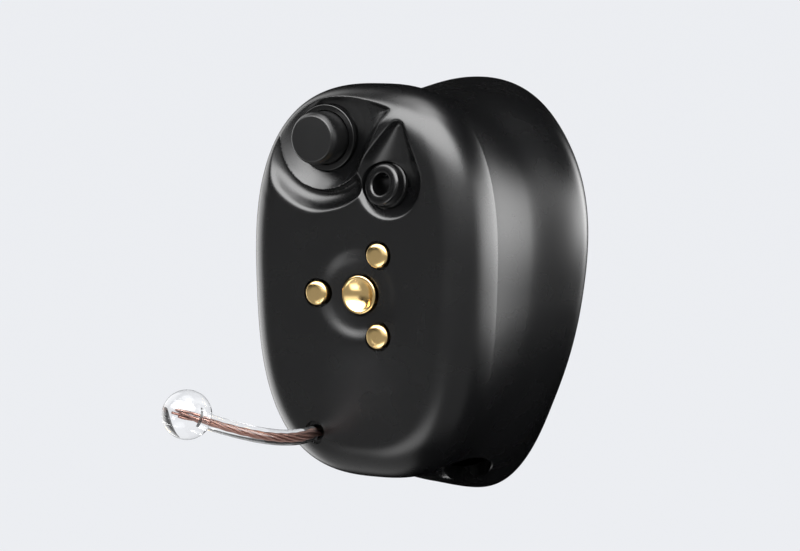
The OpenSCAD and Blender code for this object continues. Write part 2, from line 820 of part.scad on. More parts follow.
module sound_tube() {
    start = receiver_front + boot_t + seat_gap;
    color([0.85, 0.85, 0.85, 0.6])
        on_canal(start, sound_up) tube(sound_d, sound_bore_d, canal_reach - start);
}

module wax_guard() {
    color([0.92, 0.92, 0.9])
        on_canal(canal_reach - guard_l, sound_up)
            difference() {
                union() {
                    cylinder(d = sound_bore_d - 2 * slide_gap, h = guard_l + guard_flange_t);
                    translate([0, 0, guard_l + seat_gap])
                        cylinder(d = guard_flange_d, h = guard_flange_t);
                }
                translate([0, 0, -overrun])
                    cylinder(d = guard_bore_d, h = guard_l + guard_flange_t + 2 * overrun);
            }
}

module wax_screen() {
    color([0.5, 0.5, 0.5])
        on_canal(canal_reach - guard_l - screen_gap - screen_t, sound_up)
            cylinder(d = sound_bore_d - 2 * slide_gap, h = screen_t);
}

module vent_tube() {
    color([0.12, 0.12, 0.13])
        on_vent(vent_tube_shares[0])
            tube(vent_d, vent_bore_d, (vent_tube_shares[1] - vent_tube_shares[0]) * vent_length);
}

// The removal line's route, from its anchor out of the face and round to the ball's middle
line_route = [[0, 2.3, 0], [0, 1.1, 0], [0, 0, 0], [-0.02, -1.2, -0.04], [-0.12, -2.5, 0.06],
    [-0.36, -3.9, 0.3], [-0.74, -5.2, 0.64], [-1.28, -6.5, 1.08], [-2.1, -8, 1.7]];
line_steps = 2;
line_sides = 8;
wire_sides = 6;
line_exit = [line_x, -seat_depth, line_z];

function smooth_point(points, s) =
    let (last = len(points) - 1, i = min(floor(s), last - 1), u = s - i,
        p0 = points[max(i - 1, 0)], p1 = points[i],
        p2 = points[i + 1], p3 = points[min(i + 2, last)])
    (2 * p1 + (p2 - p0) * u + (2 * p0 - 5 * p1 + 4 * p2 - p3) * u * u
        + (3 * p1 - p0 - 3 * p2 + p3) * u * u * u) / 2;
function smooth(points, count) =
    [for (i = [0:(len(points) - 1) * count]) smooth_point(points, i / count)];
function unit(v) = v / norm(v);

// Directions across a path, each the one before it turned as little as it can be
function across_path(ways, side, i = 0) =
    i == len(ways) ? []
        : let (turned = unit(side - (side * ways[i]) * ways[i]))
            concat([turned], across_path(ways, turned, i + 1));
function path_rings(path, r, sides) =
    let (last = len(path) - 1,
        ways = [for (i = [0:last]) unit(path[min(i + 1, last)] - path[max(i - 1, 0)])],
        across = across_path(ways, unit(cross(ways[0], [0, 0, 1]))))
    [for (i = [0:last])
        let (up = cross(across[i], ways[i]))
        [for (j = [0:sides - 1])
            let (a = 360 * j / sides) path[i] + r * (cos(a) * across[i] + sin(a) * up)]];
line_path = [for (p = smooth(line_route, line_steps)) p + line_exit];

module pull_line() {
    channel = path_rings(line_path, core_d / 2 + seat_gap, line_sides);
    color([0.9, 0.9, 0.92, 0.5])
        skin(concat(path_rings(line_path, line_d / 2, line_sides),
            [for (i = [len(channel) - 1:-1:0]) channel[i]]), ends = false);
}

module antenna_wire() {
    color([0.8, 0.45, 0.3])
        skin(path_rings(line_path, core_d / 2, line_sides));
}

// The line ends in the ball's middle
module pull_ball() {
    last = len(line_path) - 1;
    color([0.92, 0.94, 0.96, 0.5])
        translate(line_path[last])
            difference() {
                sphere(d = ball_d);
                aim(line_path[last - line_steps] - line_path[last])
                    translate([0, 0, -seat_gap]) cylinder(d = line_d + 2 * slide_gap, h = ball_d);
            }
}

module line_bushing() {
    front = bushing_d / 4;
    color([0.03, 0.03, 0.03])
        inward(line_x, line_z, front) tube(bushing_d, line_d + 2 * seat_gap, plate_t - front);
}

anchor_share = 0.96;
module line_anchor() {
    anchor_d = anchor_share * bushing_d;
    color([0.5, 0.5, 0.52])
        inward(line_x, line_z, plate_t + seat_gap)
            tube(anchor_d, line_d + 2 * seat_gap, line_route[0][1] - plate_t);
}

// An insulated wire through its own points
module lead(points)
    skin(path_rings(points, wire_d / 2, wire_sides));

// Points of the leads: on the face's axes with a depth, on the board, on the canal
function at_depth(x, z, depth) = [x, depth - seat_depth, z];
pad_gap = wire_d / 2;
function board_point(shares, depth) =
    at_depth(cell_shift + shares[0] * board[0] / 2, board_mid + shares[1] * board[1] / 2, depth);
function pad(shares) = board_point(shares, board_depth - pad_gap);
function back_pad(shares) = board_point(shares, board_back + pad_gap);
function on_axis(side, reach, up) =
    [side * cos(canal_yaw) - reach * sin(canal_yaw), side * sin(canal_yaw) + reach * cos(canal_yaw),
        up];
function mic_point(x, z) = [
    mic_x + z * cos(mic_pitch) * sin(mic_yaw) + x * cos(mic_yaw),
    mic_front - seat_depth + z * cos(mic_pitch) * cos(mic_yaw) - x * sin(mic_yaw),
    mic_z - z * sin(mic_pitch)];

receiver_pad_shares = [0.12, -0.75];
module receiver_leads() {
    color([0.7, 0.15, 0.15])
        for (side = [-1, 1]) {
            start = on_axis(side * receiver_case[0] / 6, receiver_back - pad_gap, sound_up);
            finish = back_pad([side * receiver_pad_shares[0], receiver_pad_shares[1]]);
            knee = [finish[0], (cell_back - seat_depth + start[1]) / 2, finish[2]];
            lead([start, knee, finish + [0, 2 * wire_d, 0], finish]);
        }
}

mic_pad_side_share = 0.9;
mic_pad_shares = [0.1, 0.34, 0.58];
module mic_leads() {
    color([0.2, 0.3, 0.75])
        for (i = [0:2]) {
            start = mic_point((i - 1) * mic_case[0] / 5, capsule_z + mic_case[2] + pad_gap);
            finish = pad([mic_pad_side_share, mic_pad_shares[i]]);
            lead([start, start + [0, 2 * wire_d, 0], finish - [0, 4 * wire_d, 0], finish]);
        }
}

front_tab_pad_shares = [-0.12, -0.94];
back_tab_pad_shares = [0.4, -0.9];
module cell_leads() {
    front_start = at_depth(cell_shift + front_tab_x, tab_top - wire_d,
        cell_depth - tab_t - 2 * seat_gap - pad_gap);
    front_finish = pad(front_tab_pad_shares);
    back_start = at_depth(cell_shift + back_tab_x, tab_top + pad_gap, cell_back);
    back_finish = back_pad(back_tab_pad_shares);
    color([0.1, 0.1, 0.1]) {
        lead([front_start, front_start + [0, 0, 3 * wire_d],
            front_finish - [0, 2 * wire_d, 0], front_finish]);
        lead([back_start + [0, 0, seat_gap], back_start + [0, -wire_d, 2 * wire_d],
            back_finish + [0, 2 * wire_d, 0], back_finish]);
    }
}

function pin_at(angle, r_share, depth) =
    at_depth(r_share * contact_circle_d / 2 * cos(angle), r_share * contact_circle_d / 2 * sin(angle),
        depth);
tail_end = tail_depth + pad_gap;
left_pad_shares = [-0.92, -0.85];
upper_pad_shares = [0.12, -0.94];
lower_pad_shares = [0.92, -0.85];
module contact_leads() {
    run_depth = (tail_end + magnet_back) / 2;
    bend = 2 * wire_d;
    left = pad(left_pad_shares);
    upper = pad(upper_pad_shares);
    lower = pad(lower_pad_shares);
    color([0.85, 0.75, 0.2]) {
        lead([pin_at(180, 1, tail_end), pin_at(180, 1, run_depth), pin_at(140, 1.25, magnet_back),
            left - [0, 2 * bend, 0], left]);
        lead([pin_at(60, 1, tail_end), pin_at(60, 1.1, run_depth), pin_at(72, 1.3, cell_depth),
            upper - [0, 2 * bend, 0], upper]);
        lead([pin_at(-60, 1, tail_end), pin_at(-45, 1.1, run_depth), pin_at(0, 1.3, run_depth),
            pin_at(30, 1.6, magnet_back), lower - [0, 2 * bend, 0], lower]);
    }
}

switch_pad_shares = [[-0.66, 0.94], [-0.26, 0.94]];
module switch_leads() {
    back = plate_t + seat_gap + switch_size[1] + pad_gap;
    color([0.2, 0.6, 0.3])
        for (i = [0, 1]) {
            start = at_depth(button_x + (2 * i - 1) * switch_size[0] / 5, button_z - switch_size[0] / 5,
                back);
            finish = pad(switch_pad_shares[i]);
            lead([start, start + [0, 2 * wire_d, 0], finish - [0, 2 * wire_d, 0], finish]);
        }
}

// The antenna wire's feed runs from the anchor up the front of the cell to the board
feed_pad_shares = [-0.92, -0.5];
module antenna_feed() {
    start = line_path[0] + [0, wire_d, 0];
    finish = pad(feed_pad_shares);
    side_x = -(contact_circle_d / 2 + pin_shank_d);
    run_depth = (carrier_back + cell_depth) / 2;
    color([0.8, 0.45, 0.3])
        lead([start, start + [0, 2 * wire_d, 0], at_depth(side_x, line_z / 2, run_depth),
            at_depth(side_x, board_low - board[1] / 2, run_depth),
            finish - [wire_d, 4 * wire_d, 0], finish]);
}

faceplate();
shell();
button_cap();
button_collar();
button_seal();
snap_dome();
switch_body();
mic_cover();
mic_screen();
mic_sleeve();
mic_gasket();
microphone();
charging_pins();
centre_contact();
contact_carrier();
charge_magnet();
coin_cell();
cell_gasket();
cell_tabs();
inner_frame();
circuit_board();
processor_chip();
radio_chip();
charger_chip();
crystal();
passives();
telecoil_core();
telecoil_winding();
receiver();
receiver_boot();
receiver_spout();
sound_tube();
wax_guard();
wax_screen();
vent_tube();
pull_line();
antenna_wire();
pull_ball();
line_bushing();
line_anchor();
antenna_feed();
receiver_leads();
mic_leads();
cell_leads();
contact_leads();
switch_leads();
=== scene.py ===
"""A custom in-the-ear hearing aid in its finishes: black satin housing, push button, microphone,
gold charging contacts and a clear removal line that ends in a ball. Lengths are in millimetres
until a mesh is made."""

import json
import math

import bmesh
import bpy
import numpy as np
from mathutils import Matrix, Vector


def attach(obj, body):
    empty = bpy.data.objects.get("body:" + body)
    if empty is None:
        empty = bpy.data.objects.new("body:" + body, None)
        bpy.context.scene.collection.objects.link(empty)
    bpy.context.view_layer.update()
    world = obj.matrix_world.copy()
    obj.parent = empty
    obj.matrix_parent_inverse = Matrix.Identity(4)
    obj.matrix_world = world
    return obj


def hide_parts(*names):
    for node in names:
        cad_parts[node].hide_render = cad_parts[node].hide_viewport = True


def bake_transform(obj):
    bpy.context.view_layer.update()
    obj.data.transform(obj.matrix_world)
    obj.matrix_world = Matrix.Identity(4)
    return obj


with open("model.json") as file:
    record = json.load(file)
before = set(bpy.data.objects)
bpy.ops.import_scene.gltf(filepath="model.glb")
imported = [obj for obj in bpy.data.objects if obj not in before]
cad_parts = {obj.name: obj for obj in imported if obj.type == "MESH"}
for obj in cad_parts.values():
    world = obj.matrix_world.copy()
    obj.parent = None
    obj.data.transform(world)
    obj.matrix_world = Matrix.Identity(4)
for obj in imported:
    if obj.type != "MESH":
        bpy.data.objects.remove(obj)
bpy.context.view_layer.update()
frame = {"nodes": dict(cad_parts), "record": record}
MM = 0.001

# Face module
FACE_W = 13.0
FACE_H = 19.2
CAP_DEPTH = 2.3
ROLL_W = 1.9
PLATE_T = 1.6
FACE_RISE = 0.026 * FACE_H
FACE_LEFT = 0.51
FACE_ROUND = 0.74
FACE_EGG = 0.06
HALF_W = FACE_W / 2
HALF_H = FACE_H / 2

# Shell and canal
WALL = 0.8
BULGE_W = 13.65
BULGE_H = 19.9
BULGE_DEPTH = 7.4
HEEL_W = 12.3
HEEL_H = 20.75
HEEL_DEPTH = 10.1
SEAT_DEPTH = 9.0
CANAL_W = 6.6
CANAL_H = 8.6
CANAL_REACH = 9.3
CANAL_YAW = math.radians(20)
TIP_ROUND = 0.45

# Places on the face
BUTTON = (-0.318 * HALF_W, FACE_RISE + 0.729 * HALF_H)
MIC = (0.189 * HALF_W, FACE_RISE + 0.51 * HALF_H)
LINE = (-0.374 * HALF_W, FACE_RISE - 0.763 * HALF_H)

# Columns of a station's row
DEPTH, SHIFT, LEFT, RIGHT, UP, DOWN, LEAN, TURN, ROUND, EGG = range(10)


def mix(a, b, share):
    return a + (b - a) * share


def smooth_step(v, low, high):
    u = np.clip((v - low) / (high - low), 0, 1)
    return u * u * (3 - 2 * u)


def smooth_max(a, b, blend):
    """The larger of two surfaces, with the corner between them rounded over blend."""
    return (a + b + np.sqrt((a - b) ** 2 + blend * blend)) / 2


def smooth_min(a, b, blend):
    return -smooth_max(-a, -b, blend)


# Stations of the housing

def canal_station(share, w_share, h_share):
    reach = share * CANAL_REACH
    half_w = w_share * CANAL_W / 2
    half_h = h_share * CANAL_H / 2
    return [SEAT_DEPTH + reach * math.cos(CANAL_YAW), -reach * math.sin(CANAL_YAW), half_w, half_w,
            half_h, half_h, 0, CANAL_YAW, 1, 0]


def housing_stations():
    seam = np.array([CAP_DEPTH, 0, FACE_LEFT * FACE_W, (1 - FACE_LEFT) * FACE_W, HALF_H + FACE_RISE,
                     HALF_H - FACE_RISE, 0, 0, FACE_ROUND, FACE_EGG])
    bulge = np.array([BULGE_DEPTH, 0.065 * BULGE_W, 0.457 * BULGE_W, 0.543 * BULGE_W, 0.495 * BULGE_H,
                      0.505 * BULGE_H, -0.03, 0, 0.862, 0.164])
    heel = np.array([HEEL_DEPTH, 0.1065 * HEEL_W, 0.555 * HEEL_W, 0.445 * HEEL_W, 0.492 * HEEL_H,
                     0.508 * HEEL_H, 0, 0, 0.96, 0.2])
    valley = mix(seam, bulge, 0.41)
    valley[LEFT:UP] -= 0.03 * HALF_W
    valley[UP:LEAN] -= 0.03 * HALF_H
    neck = np.array(canal_station(0.46, 1.36, 1.42))
    shoulder = mix(heel, neck, 0.45)
    shoulder[LEFT:LEAN] = mix(heel, neck, 0.32)[LEFT:LEAN]
    shoulder[LEFT] = mix(heel, neck, 0.54)[LEFT]
    root = canal_station(0.74, 1.09, 1.08)
    tip = canal_station(1, 1, 1)
    return np.array([seam, valley, bulge, heel, shoulder, neck, root, tip])


STATIONS = housing_stations()
LAST = len(STATIONS) - 1


def station_at(s):
    """A smooth curve through the stations, at a real station number."""
    i = min(int(s), LAST - 1)
    u = s - i
    p0, p1 = STATIONS[max(i - 1, 0)], STATIONS[i]
    p2, p3 = STATIONS[i + 1], STATIONS[min(i + 2, LAST)]
    return (2 * p1 + (p2 - p0) * u + (2 * p0 - 5 * p1 + 4 * p2 - p3) * u ** 2
            + (3 * p1 - p0 - 3 * p2 + p3) * u ** 3) / 2


def section(row, angles, inset=0.0, depth=None):
    """One section of the housing at polar angles, drawn in by inset: rows of x, depth and z."""
    p = 2 / row[ROUND]
    r = (np.abs(np.cos(angles)) ** p + np.abs(np.sin(angles)) ** p) ** (-1 / p)
    c, s = r * np.cos(angles), r * np.sin(angles)
    a = mix(row[LEFT], row[RIGHT], (1 + c) / 2) * (1 + row[EGG] * s) - inset
    b = mix(row[DOWN], row[UP], (1 + s) / 2) - inset
    x = a * c - row[LEAN] * b * s
    y = (row[DEPTH] if depth is None else depth) + x * math.sin(row[TURN])
    return np.stack([row[SHIFT] + x * math.cos(row[TURN]), y, b * s], axis=-1)


# Meshes

def in_scene(name, data):
    """A new object in the scene."""
    thing = bpy.data.objects.new(name, data)
    bpy.context.scene.collection.objects.link(thing)
    return thing


def new_piece(name, vertices, faces, material):
    """A mesh piece from points on the face's axes: x, depth behind the face, z."""
    points = np.asarray(vertices, float) - [0, SEAT_DEPTH, 0]
    mesh = bpy.data.meshes.new(name)
    mesh.from_pydata((points * MM).tolist(), [], [list(map(int, f)) for f in faces])
    mesh.materials.append(material)
    return in_scene(name, mesh)


def grid_faces(rows, columns, offset=0):
    """Quads between rings of points, closed round each ring, facing out for rings that run back."""
    i, j = np.meshgrid(np.arange(rows - 1), np.arange(columns), indexing="ij")
    k = (j + 1) % columns
    here, beyond = i * columns, (i + 1) * columns
    quads = np.stack([here + j, beyond + j, beyond + k, here + k], -1)
    return quads.reshape(-1, 4) + offset


def finish_mesh(piece, sharp=40):
    """Merged, with its faces outwards, and smooth but for edges sharper than an angle in degrees."""
    work = bmesh.new()
    work.from_mesh(piece.data)
    bmesh.ops.remove_doubles(work, verts=work.verts, dist=1e-7)
    bmesh.ops.dissolve_degenerate(work, edges=work.edges, dist=1e-7)
    bmesh.ops.recalc_face_normals(work, faces=work.faces)
    work.to_mesh(piece.data)
    work.free()
    piece.data.shade_smooth()
    piece.data.set_sharp_from_angle(angle=math.radians(sharp))
    return piece


def apply_modifiers(piece):
    graph = bpy.context.evaluated_depsgraph_get()
    old = piece.data
    piece.data = bpy.data.meshes.new_from_object(piece.evaluated_get(graph))
    piece.data.name = old.name
    piece.modifiers.clear()
    bpy.data.meshes.remove(old)
    return piece


def cut(piece, cutters):
    """Takes each cutter out of a piece and removes it."""
    for cutter in cutters:
        step = piece.modifiers.new("cut", "BOOLEAN")
        step.operation = "DIFFERENCE"
        step.solver = "MANIFOLD"
        step.object = cutter
    apply_modifiers(piece)
    for cutter in cutters:
        bpy.data.objects.remove(cutter)
    return piece


def lathe(name, profile, material, turns=96):
    """Spins a profile of radius and height round its own axis, and closes its ends. Height runs
    into the head."""
    angles = np.linspace(0, 2 * math.pi, turns, endpoint=False)
    rings = [[(r * math.cos(a), h, r * math.sin(a)) for a in angles] for r, h in profile]
    points = np.array(rings).reshape(-1, 3) + [0, SEAT_DEPTH, 0]
    faces = grid_faces(len(profile), turns).tolist()
    if profile[0] != profile[-1]:
        last = (len(profile) - 1) * turns
        faces.append(list(range(turns)))
        faces.append([last + j for j in reversed(range(turns))])
    return finish_mesh(new_piece(name, points, faces, material))


def place(piece, matrix):
    piece.data.transform(matrix)
    return piece


def at_face(x, z, depth=0.0):
    """A matrix that takes a lathe's own axes to a place on the face."""
    return Matrix.Translation(Vector((x, depth - SEAT_DEPTH, z)) * MM)


# The microphone sits a little below the flat face, and looks a little up and to the left
MIC_FRONT = 0.1
MIC_TURN = math.radians(-10)
MIC_LEAN = math.radians(-12)


def at_mic():
    """The microphone's axis: 0 is its cover's front rim."""
    turn = Matrix.Rotation(MIC_TURN, 4, "Z") @ Matrix.Rotation(MIC_LEAN, 4, "X")
    return at_face(MIC[0], MIC[1], MIC_FRONT) @ turn


def rounded(corners, steps=6):
    """A profile through corners, each with its radius, its height and the fillet that rounds it."""
    places = [np.array(corner[:2], float) for corner in corners]
    last = len(corners) - 1
    points = []
    for i, p in enumerate(places):
        fillet = corners[i][2]
        if fillet == 0 or i in (0, last):
            points.append(tuple(p))
            continue
        before = places[i - 1] - p
        after = places[i + 1] - p
        a = p + before / np.linalg.norm(before) * fillet
        b = p + after / np.linalg.norm(after) * fillet
        for t in np.linspace(0, 1, steps + 1):
            points.append(tuple((1 - t) ** 2 * a + 2 * t * (1 - t) * p + t * t * b))
    return points


# Materials

# Kinds of socket
FLOAT = "NodeSocketFloat"
INT = "NodeSocketInt"
COLOUR = "NodeSocketColor"
VECTOR = "NodeSocketVector"
GEOMETRY = "NodeSocketGeometry"
MATERIAL = "NodeSocketMaterial"


def worked_out(tree, operation, *values):
    """The result of a sum in a node tree, from numbers and other nodes' outputs."""
    node = tree.nodes.new("ShaderNodeMath")
    node.operation = operation
    for i, value in enumerate(values):
        if isinstance(value, (int, float)):
            node.inputs[i].default_value = value
        else:
            tree.links.new(value, node.inputs[i])
    return node.outputs[0]


def new_material(name):
    material = bpy.data.materials.new(name)
    material.use_nodes = True
    tree = material.node_tree
    tree.nodes.clear()
    out = tree.nodes.new("ShaderNodeOutputMaterial")
    shader = tree.nodes.new("ShaderNodeBsdfPrincipled")
    tree.links.new(shader.outputs[0], out.inputs[0])
    return material, tree, shader


def surface_group():
    """Fine grain and slow mottling: a colour, a roughness and a height that vary over a surface."""
    group = bpy.data.node_groups.new("surface grain", "ShaderNodeTree")
    face = group.interface
    for name, kind in (("Colour", COLOUR), ("Tint", FLOAT), ("Roughness", FLOAT), ("Spread", FLOAT),
                       ("Grain", FLOAT), ("Mottle", FLOAT)):
        face.new_socket(name=name, in_out="INPUT", socket_type=kind)
    for name, kind in (("Colour", COLOUR), ("Roughness", FLOAT), ("Height", FLOAT)):
        face.new_socket(name=name, in_out="OUTPUT", socket_type=kind)
    n, link = group.nodes, group.links
    given = n.new("NodeGroupInput")
    given_out = n.new("NodeGroupOutput")
    place_of = n.new("ShaderNodeTexCoord")
    grain = n.new("ShaderNodeTexNoise")
    grain.inputs["Detail"].default_value = 3
    mottle = n.new("ShaderNodeTexNoise")
    mottle.inputs["Detail"].default_value = 2
    for noise, scale in ((grain, "Grain"), (mottle, "Mottle")):
        link.new(place_of.outputs["Object"], noise.inputs["Vector"])
        link.new(given.outputs[scale], noise.inputs["Scale"])
    swing = worked_out(group, "SUBTRACT", mottle.outputs[0], 0.5)
    rough = worked_out(group, "MULTIPLY_ADD", swing, given.outputs["Spread"], given.outputs["Roughness"])
    shade = worked_out(group, "MULTIPLY_ADD", swing, given.outputs["Tint"], 1)
    colour = n.new("ShaderNodeVectorMath")
    colour.operation = "SCALE"
    link.new(given.outputs["Colour"], colour.inputs[0])
    link.new(shade, colour.inputs["Scale"])
    link.new(colour.outputs[0], given_out.inputs["Colour"])
    link.new(rough, given_out.inputs["Roughness"])
    link.new(grain.outputs[0], given_out.inputs["Height"])
    return group


GRAIN = surface_group()


def grained(name, colour, roughness, spread=0.05, tint=0.15, grain=14000.0, mottle=700.0, depth=0.003,
            metallic=0.0):
    """A material whose colour, roughness and fine relief come from the grain group. Grain and
    mottle are scales in a metre, and depth is the relief in millimetres."""
    material, tree, shader = new_material(name)
    group = tree.nodes.new("ShaderNodeGroup")
    group.node_tree = GRAIN
    for socket, value in (("Colour", (*colour, 1)), ("Tint", tint), ("Roughness", roughness),
                          ("Spread", spread), ("Grain", grain), ("Mottle", mottle)):
        group.inputs[socket].default_value = value
    bump = tree.nodes.new("ShaderNodeBump")
    bump.inputs["Distance"].default_value = depth * MM
    bump.inputs["Strength"].default_value = 1
    link = tree.links.new
    link(group.outputs["Colour"], shader.inputs["Base Color"])
    link(group.outputs["Roughness"], shader.inputs["Roughness"])
    link(group.outputs["Height"], bump.inputs["Height"])
    link(bump.outputs[0], shader.inputs["Normal"])
    shader.inputs["Metallic"].default_value = metallic
    return material


CLEAR_MOTTLE = 900


def clear(name, colour, roughness, ior):
    """A clear material whose roughness varies by half its value either way."""
    material, tree, shader = new_material(name)
    noise = tree.nodes.new("ShaderNodeTexNoise")
    place_of = tree.nodes.new("ShaderNodeTexCoord")
    noise.inputs["Scale"].default_value = CLEAR_MOTTLE
    ramp = tree.nodes.new("ShaderNodeMapRange")
    ramp.inputs["To Min"].default_value = roughness * 0.5
    ramp.inputs["To Max"].default_value = roughness * 1.5
    link = tree.links.new
    link(place_of.outputs["Object"], noise.inputs["Vector"])
    link(noise.outputs[0], ramp.inputs[0])
    link(ramp.outputs[0], shader.inputs["Roughness"])
    shader.inputs["Base Color"].default_value = (*colour, 1)
    shader.inputs["IOR"].default_value = ior
    shader.inputs["Transmission Weight"].default_value = 1
    return material


black_face = grained("satin black face", (0.0048, 0.0049, 0.0052), 0.27, depth=0.0015)
black_shell = grained("satin black shell", (0.0055, 0.0056, 0.0059), 0.27, depth=0.0015)
black_button = grained("fine black button", (0.006, 0.006, 0.0062), 0.36, mottle=1500.0, depth=0.0015)
black_ring = grained("glossy black ring", (0.004, 0.004, 0.0042), 0.2, mottle=1500.0, depth=0.001)
black_well = grained("dull black well", (0.004, 0.004, 0.0042), 0.5)
gold = grained("polished gold", (0.92, 0.66, 0.3), 0.17, spread=0.12, tint=0.08, mottle=2500.0,
               metallic=1.0, grain=9000.0, depth=0.0015)
copper = grained("bare copper", (0.38, 0.215, 0.175), 0.3, spread=0.15, metallic=1.0, depth=0.001)
clear_nylon = clear("clear nylon", (1, 1, 1), 0.02, 1.5)
steel = grained("drawn steel", (0.6, 0.6, 0.62), 0.3, metallic=1.0, mottle=1500.0)
frame_plastic = grained("natural plastic", (0.62, 0.62, 0.58), 0.5)
laminate = grained("green laminate", (0.02, 0.14, 0.06), 0.35)
chip_black = grained("moulded chip", (0.02, 0.02, 0.022), 0.5)
silicone = grained("dark silicone", (0.03, 0.03, 0.032), 0.6)
white_guard = grained("white filter", (0.78, 0.78, 0.75), 0.38)
enamel = grained("enamelled lead", (0.32, 0.05, 0.03), 0.35)
tube_clear = clear("soft clear tube", (0.9, 0.93, 0.95), 0.15, 1.41)

SLOT_MATERIALS = {
    "face_plastic": black_face, "shell_plastic": black_shell, "button_plastic": black_button,
    "gold": gold, "clear_line": clear_nylon, "copper": copper, "rubber_dark": silicone,
    "steel": steel, "frame_plastic": frame_plastic, "board_green": laminate,
    "chip_black": chip_black, "guard_white": white_guard, "tube_clear": tube_clear, "wire": enamel,
}


def dress_cad_nodes():
    """Gives each construction node its own finish from its material slot."""
    slots = {row["node"]: row["material_slot"] for row in frame["record"]["subparts"]}
    for name, node in frame["nodes"].items():
        for slot in node.material_slots:
            slot.material = SLOT_MATERIALS[slots[name]]


# The face's relief: how deep each pocket lies at a place on the face

# The button's pocket: its outline, a tilted floor, and a bowl that falls towards the button
POCKET_OUTLINE = [(-5.4, 6.6), (-5.2, 8.2), (-3.6, 9.6), (-2.2, 9.95), (-0.6, 9.86), (0.6, 9.56),
                  (1.8, 9.0), (1.2, 8.25), (0.72, 7.4), (0.28, 6.6), (-0.1, 5.75), (-0.75, 5.2),
                  (-2.07, 4.8), (-3.6, 5.2), (-4.6, 5.9)]
POCKET_SLOPE = 1.6
POCKET_BLEND = 0.25
FLOOR_DEPTH = 0.4
FLOOR_TILT = 0.11
CREST_R = 2.5
BOWL_R = CREST_R + 0.3
BOWL_W = 1.2
BOWL_SLOPE = 0.37

# The moat below the button, which fades out at both ends, in degrees round the button
MOAT_R = 3.45
MOAT_DEPTH = 0.66
MOAT_CURVE = 2.8
MOAT_FAR = 9
MOAT_WALL_SLOPE = 5.0
MOAT_WALL_DROP = 0.12
MOAT_BLEND = 0.1
MOAT_LEFT_FADE = (165, 185)
MOAT_RIGHT_FADE = (28, 55)
BESIDE_MOAT = 0.3
CREST_BLEND = 0.06
WELL_R = 1.66

# The microphone's teardrop: a wide circle that narrows to a small one
TEAR_CENTRE = (1.68, 5.52)
TEAR_R = 1.77
TEAR_TIP = (2.13, 8.05)
TEAR_TIP_R = 0.38
TEAR_DEPTH = 0.8
TEAR_TIP_DEPTH = 0.4
TEAR_CURVE = 3
TEAR_BLEND = 0.1


def outline_distance(x, z, outline):
    """Distance inside a closed outline, negative outside."""
    points = np.array(outline)
    best = np.full(x.shape, np.inf)
    inside = np.zeros(x.shape, bool)
    for a, b in zip(points, np.roll(points, -1, axis=0)):
        edge = b - a
        u = np.clip(((x - a[0]) * edge[0] + (z - a[1]) * edge[1]) / (edge @ edge), 0, 1)
        best = np.minimum(best, np.hypot(x - a[0] - u * edge[0], z - a[1] - u * edge[1]))
        crosses = (a[1] > z) != (b[1] > z)
        with np.errstate(divide="ignore", invalid="ignore"):
            inside ^= crosses & (x < a[0] + (z - a[1]) * edge[0] / edge[1])
    return np.where(inside, best, -best)


def smooth_outline(outline, steps=8):
    """A closed curve through listed points."""
    p = np.array(outline, float)
    n = len(p)
    points = []
    for i in range(n):
        p0, p1, p2, p3 = p[i - 1], p[i], p[(i + 1) % n], p[(i + 2) % n]
        for k in range(steps):
            u = k / steps
            points.append((2 * p1 + (p2 - p0) * u + (2 * p0 - 5 * p1 + 4 * p2 - p3) * u * u
                           + (3 * p1 - p0 - 3 * p2 + p3) * u ** 3) / 2)
    return points


POCKET_CURVE = smooth_outline(POCKET_OUTLINE)


def tear_distance(x, z):
    """Distance inside the teardrop: a wide circle and a small one joined by their tangents."""
    ax, az = TEAR_CENTRE
    bx, bz = TEAR_TIP
    length = math.hypot(bx - ax, bz - az)
    ux, uz = (bx - ax) / length, (bz - az) / length
    along = (x - ax) * ux + (z - az) * uz
    across = np.abs((x - ax) * uz - (z - az) * ux)
    slope = (TEAR_R - TEAR_TIP_R) / length
    cosine = math.sqrt(1 - slope * slope)
    on = along * cosine - across * slope
    side = cosine * across + slope * along - TEAR_R
    low = np.hypot(across, along) - TEAR_R
    high = np.hypot(across, along - length) - TEAR_TIP_R
    return -np.where(on < 0, low, np.where(on > length * cosine, high, side))


def from_button(x, z):
    return np.hypot(x - BUTTON[0], z - BUTTON[1])


def moat_depth(x, z):
    r = from_button(x, z)
    angle = np.degrees(np.arctan2(z - BUTTON[1], x - BUTTON[0]))
    kept = np.where(angle > 90, smooth_step(angle, *MOAT_LEFT_FADE), smooth_step(-angle, *MOAT_RIGHT_FADE))
    across = (r - CREST_R) / (MOAT_R - CREST_R)
    inner_wall = (r - CREST_R) * MOAT_WALL_SLOPE + MOAT_WALL_DROP
    outer_wall = MOAT_DEPTH * (1 - np.clip(across, 0, MOAT_FAR) ** MOAT_CURVE)
    return smooth_min(inner_wall, outer_wall, MOAT_BLEND) * kept - (1 - kept) * BESIDE_MOAT


def tear_depth(x, z):
    to_tip = np.clip((z - TEAR_CENTRE[1]) / (TEAR_TIP[1] - TEAR_CENTRE[1]), 0, 1)
    share_in = np.clip(tear_distance(x, z) / mix(TEAR_R, TEAR_TIP_R, to_tip), -1, 1)
    return mix(TEAR_DEPTH, TEAR_TIP_DEPTH, to_tip) * (1 - (1 - share_in) ** TEAR_CURVE)


def pocket_depth(x, z):
    """Depth of the button's pocket, its moat and the microphone's teardrop below the flat face."""
    bowl = BOWL_SLOPE * np.clip(BOWL_R - from_button(x, z), 0, BOWL_W)
    floor = FLOOR_DEPTH + FLOOR_TILT * (z - BUTTON[1]) + bowl
    wall = outline_distance(x, z, POCKET_CURVE) * POCKET_SLOPE
    pocket = smooth_max(smooth_min(wall, floor, POCKET_BLEND), moat_depth(x, z), CREST_BLEND)
    return smooth_max(pocket, tear_depth(x, z), TEAR_BLEND)


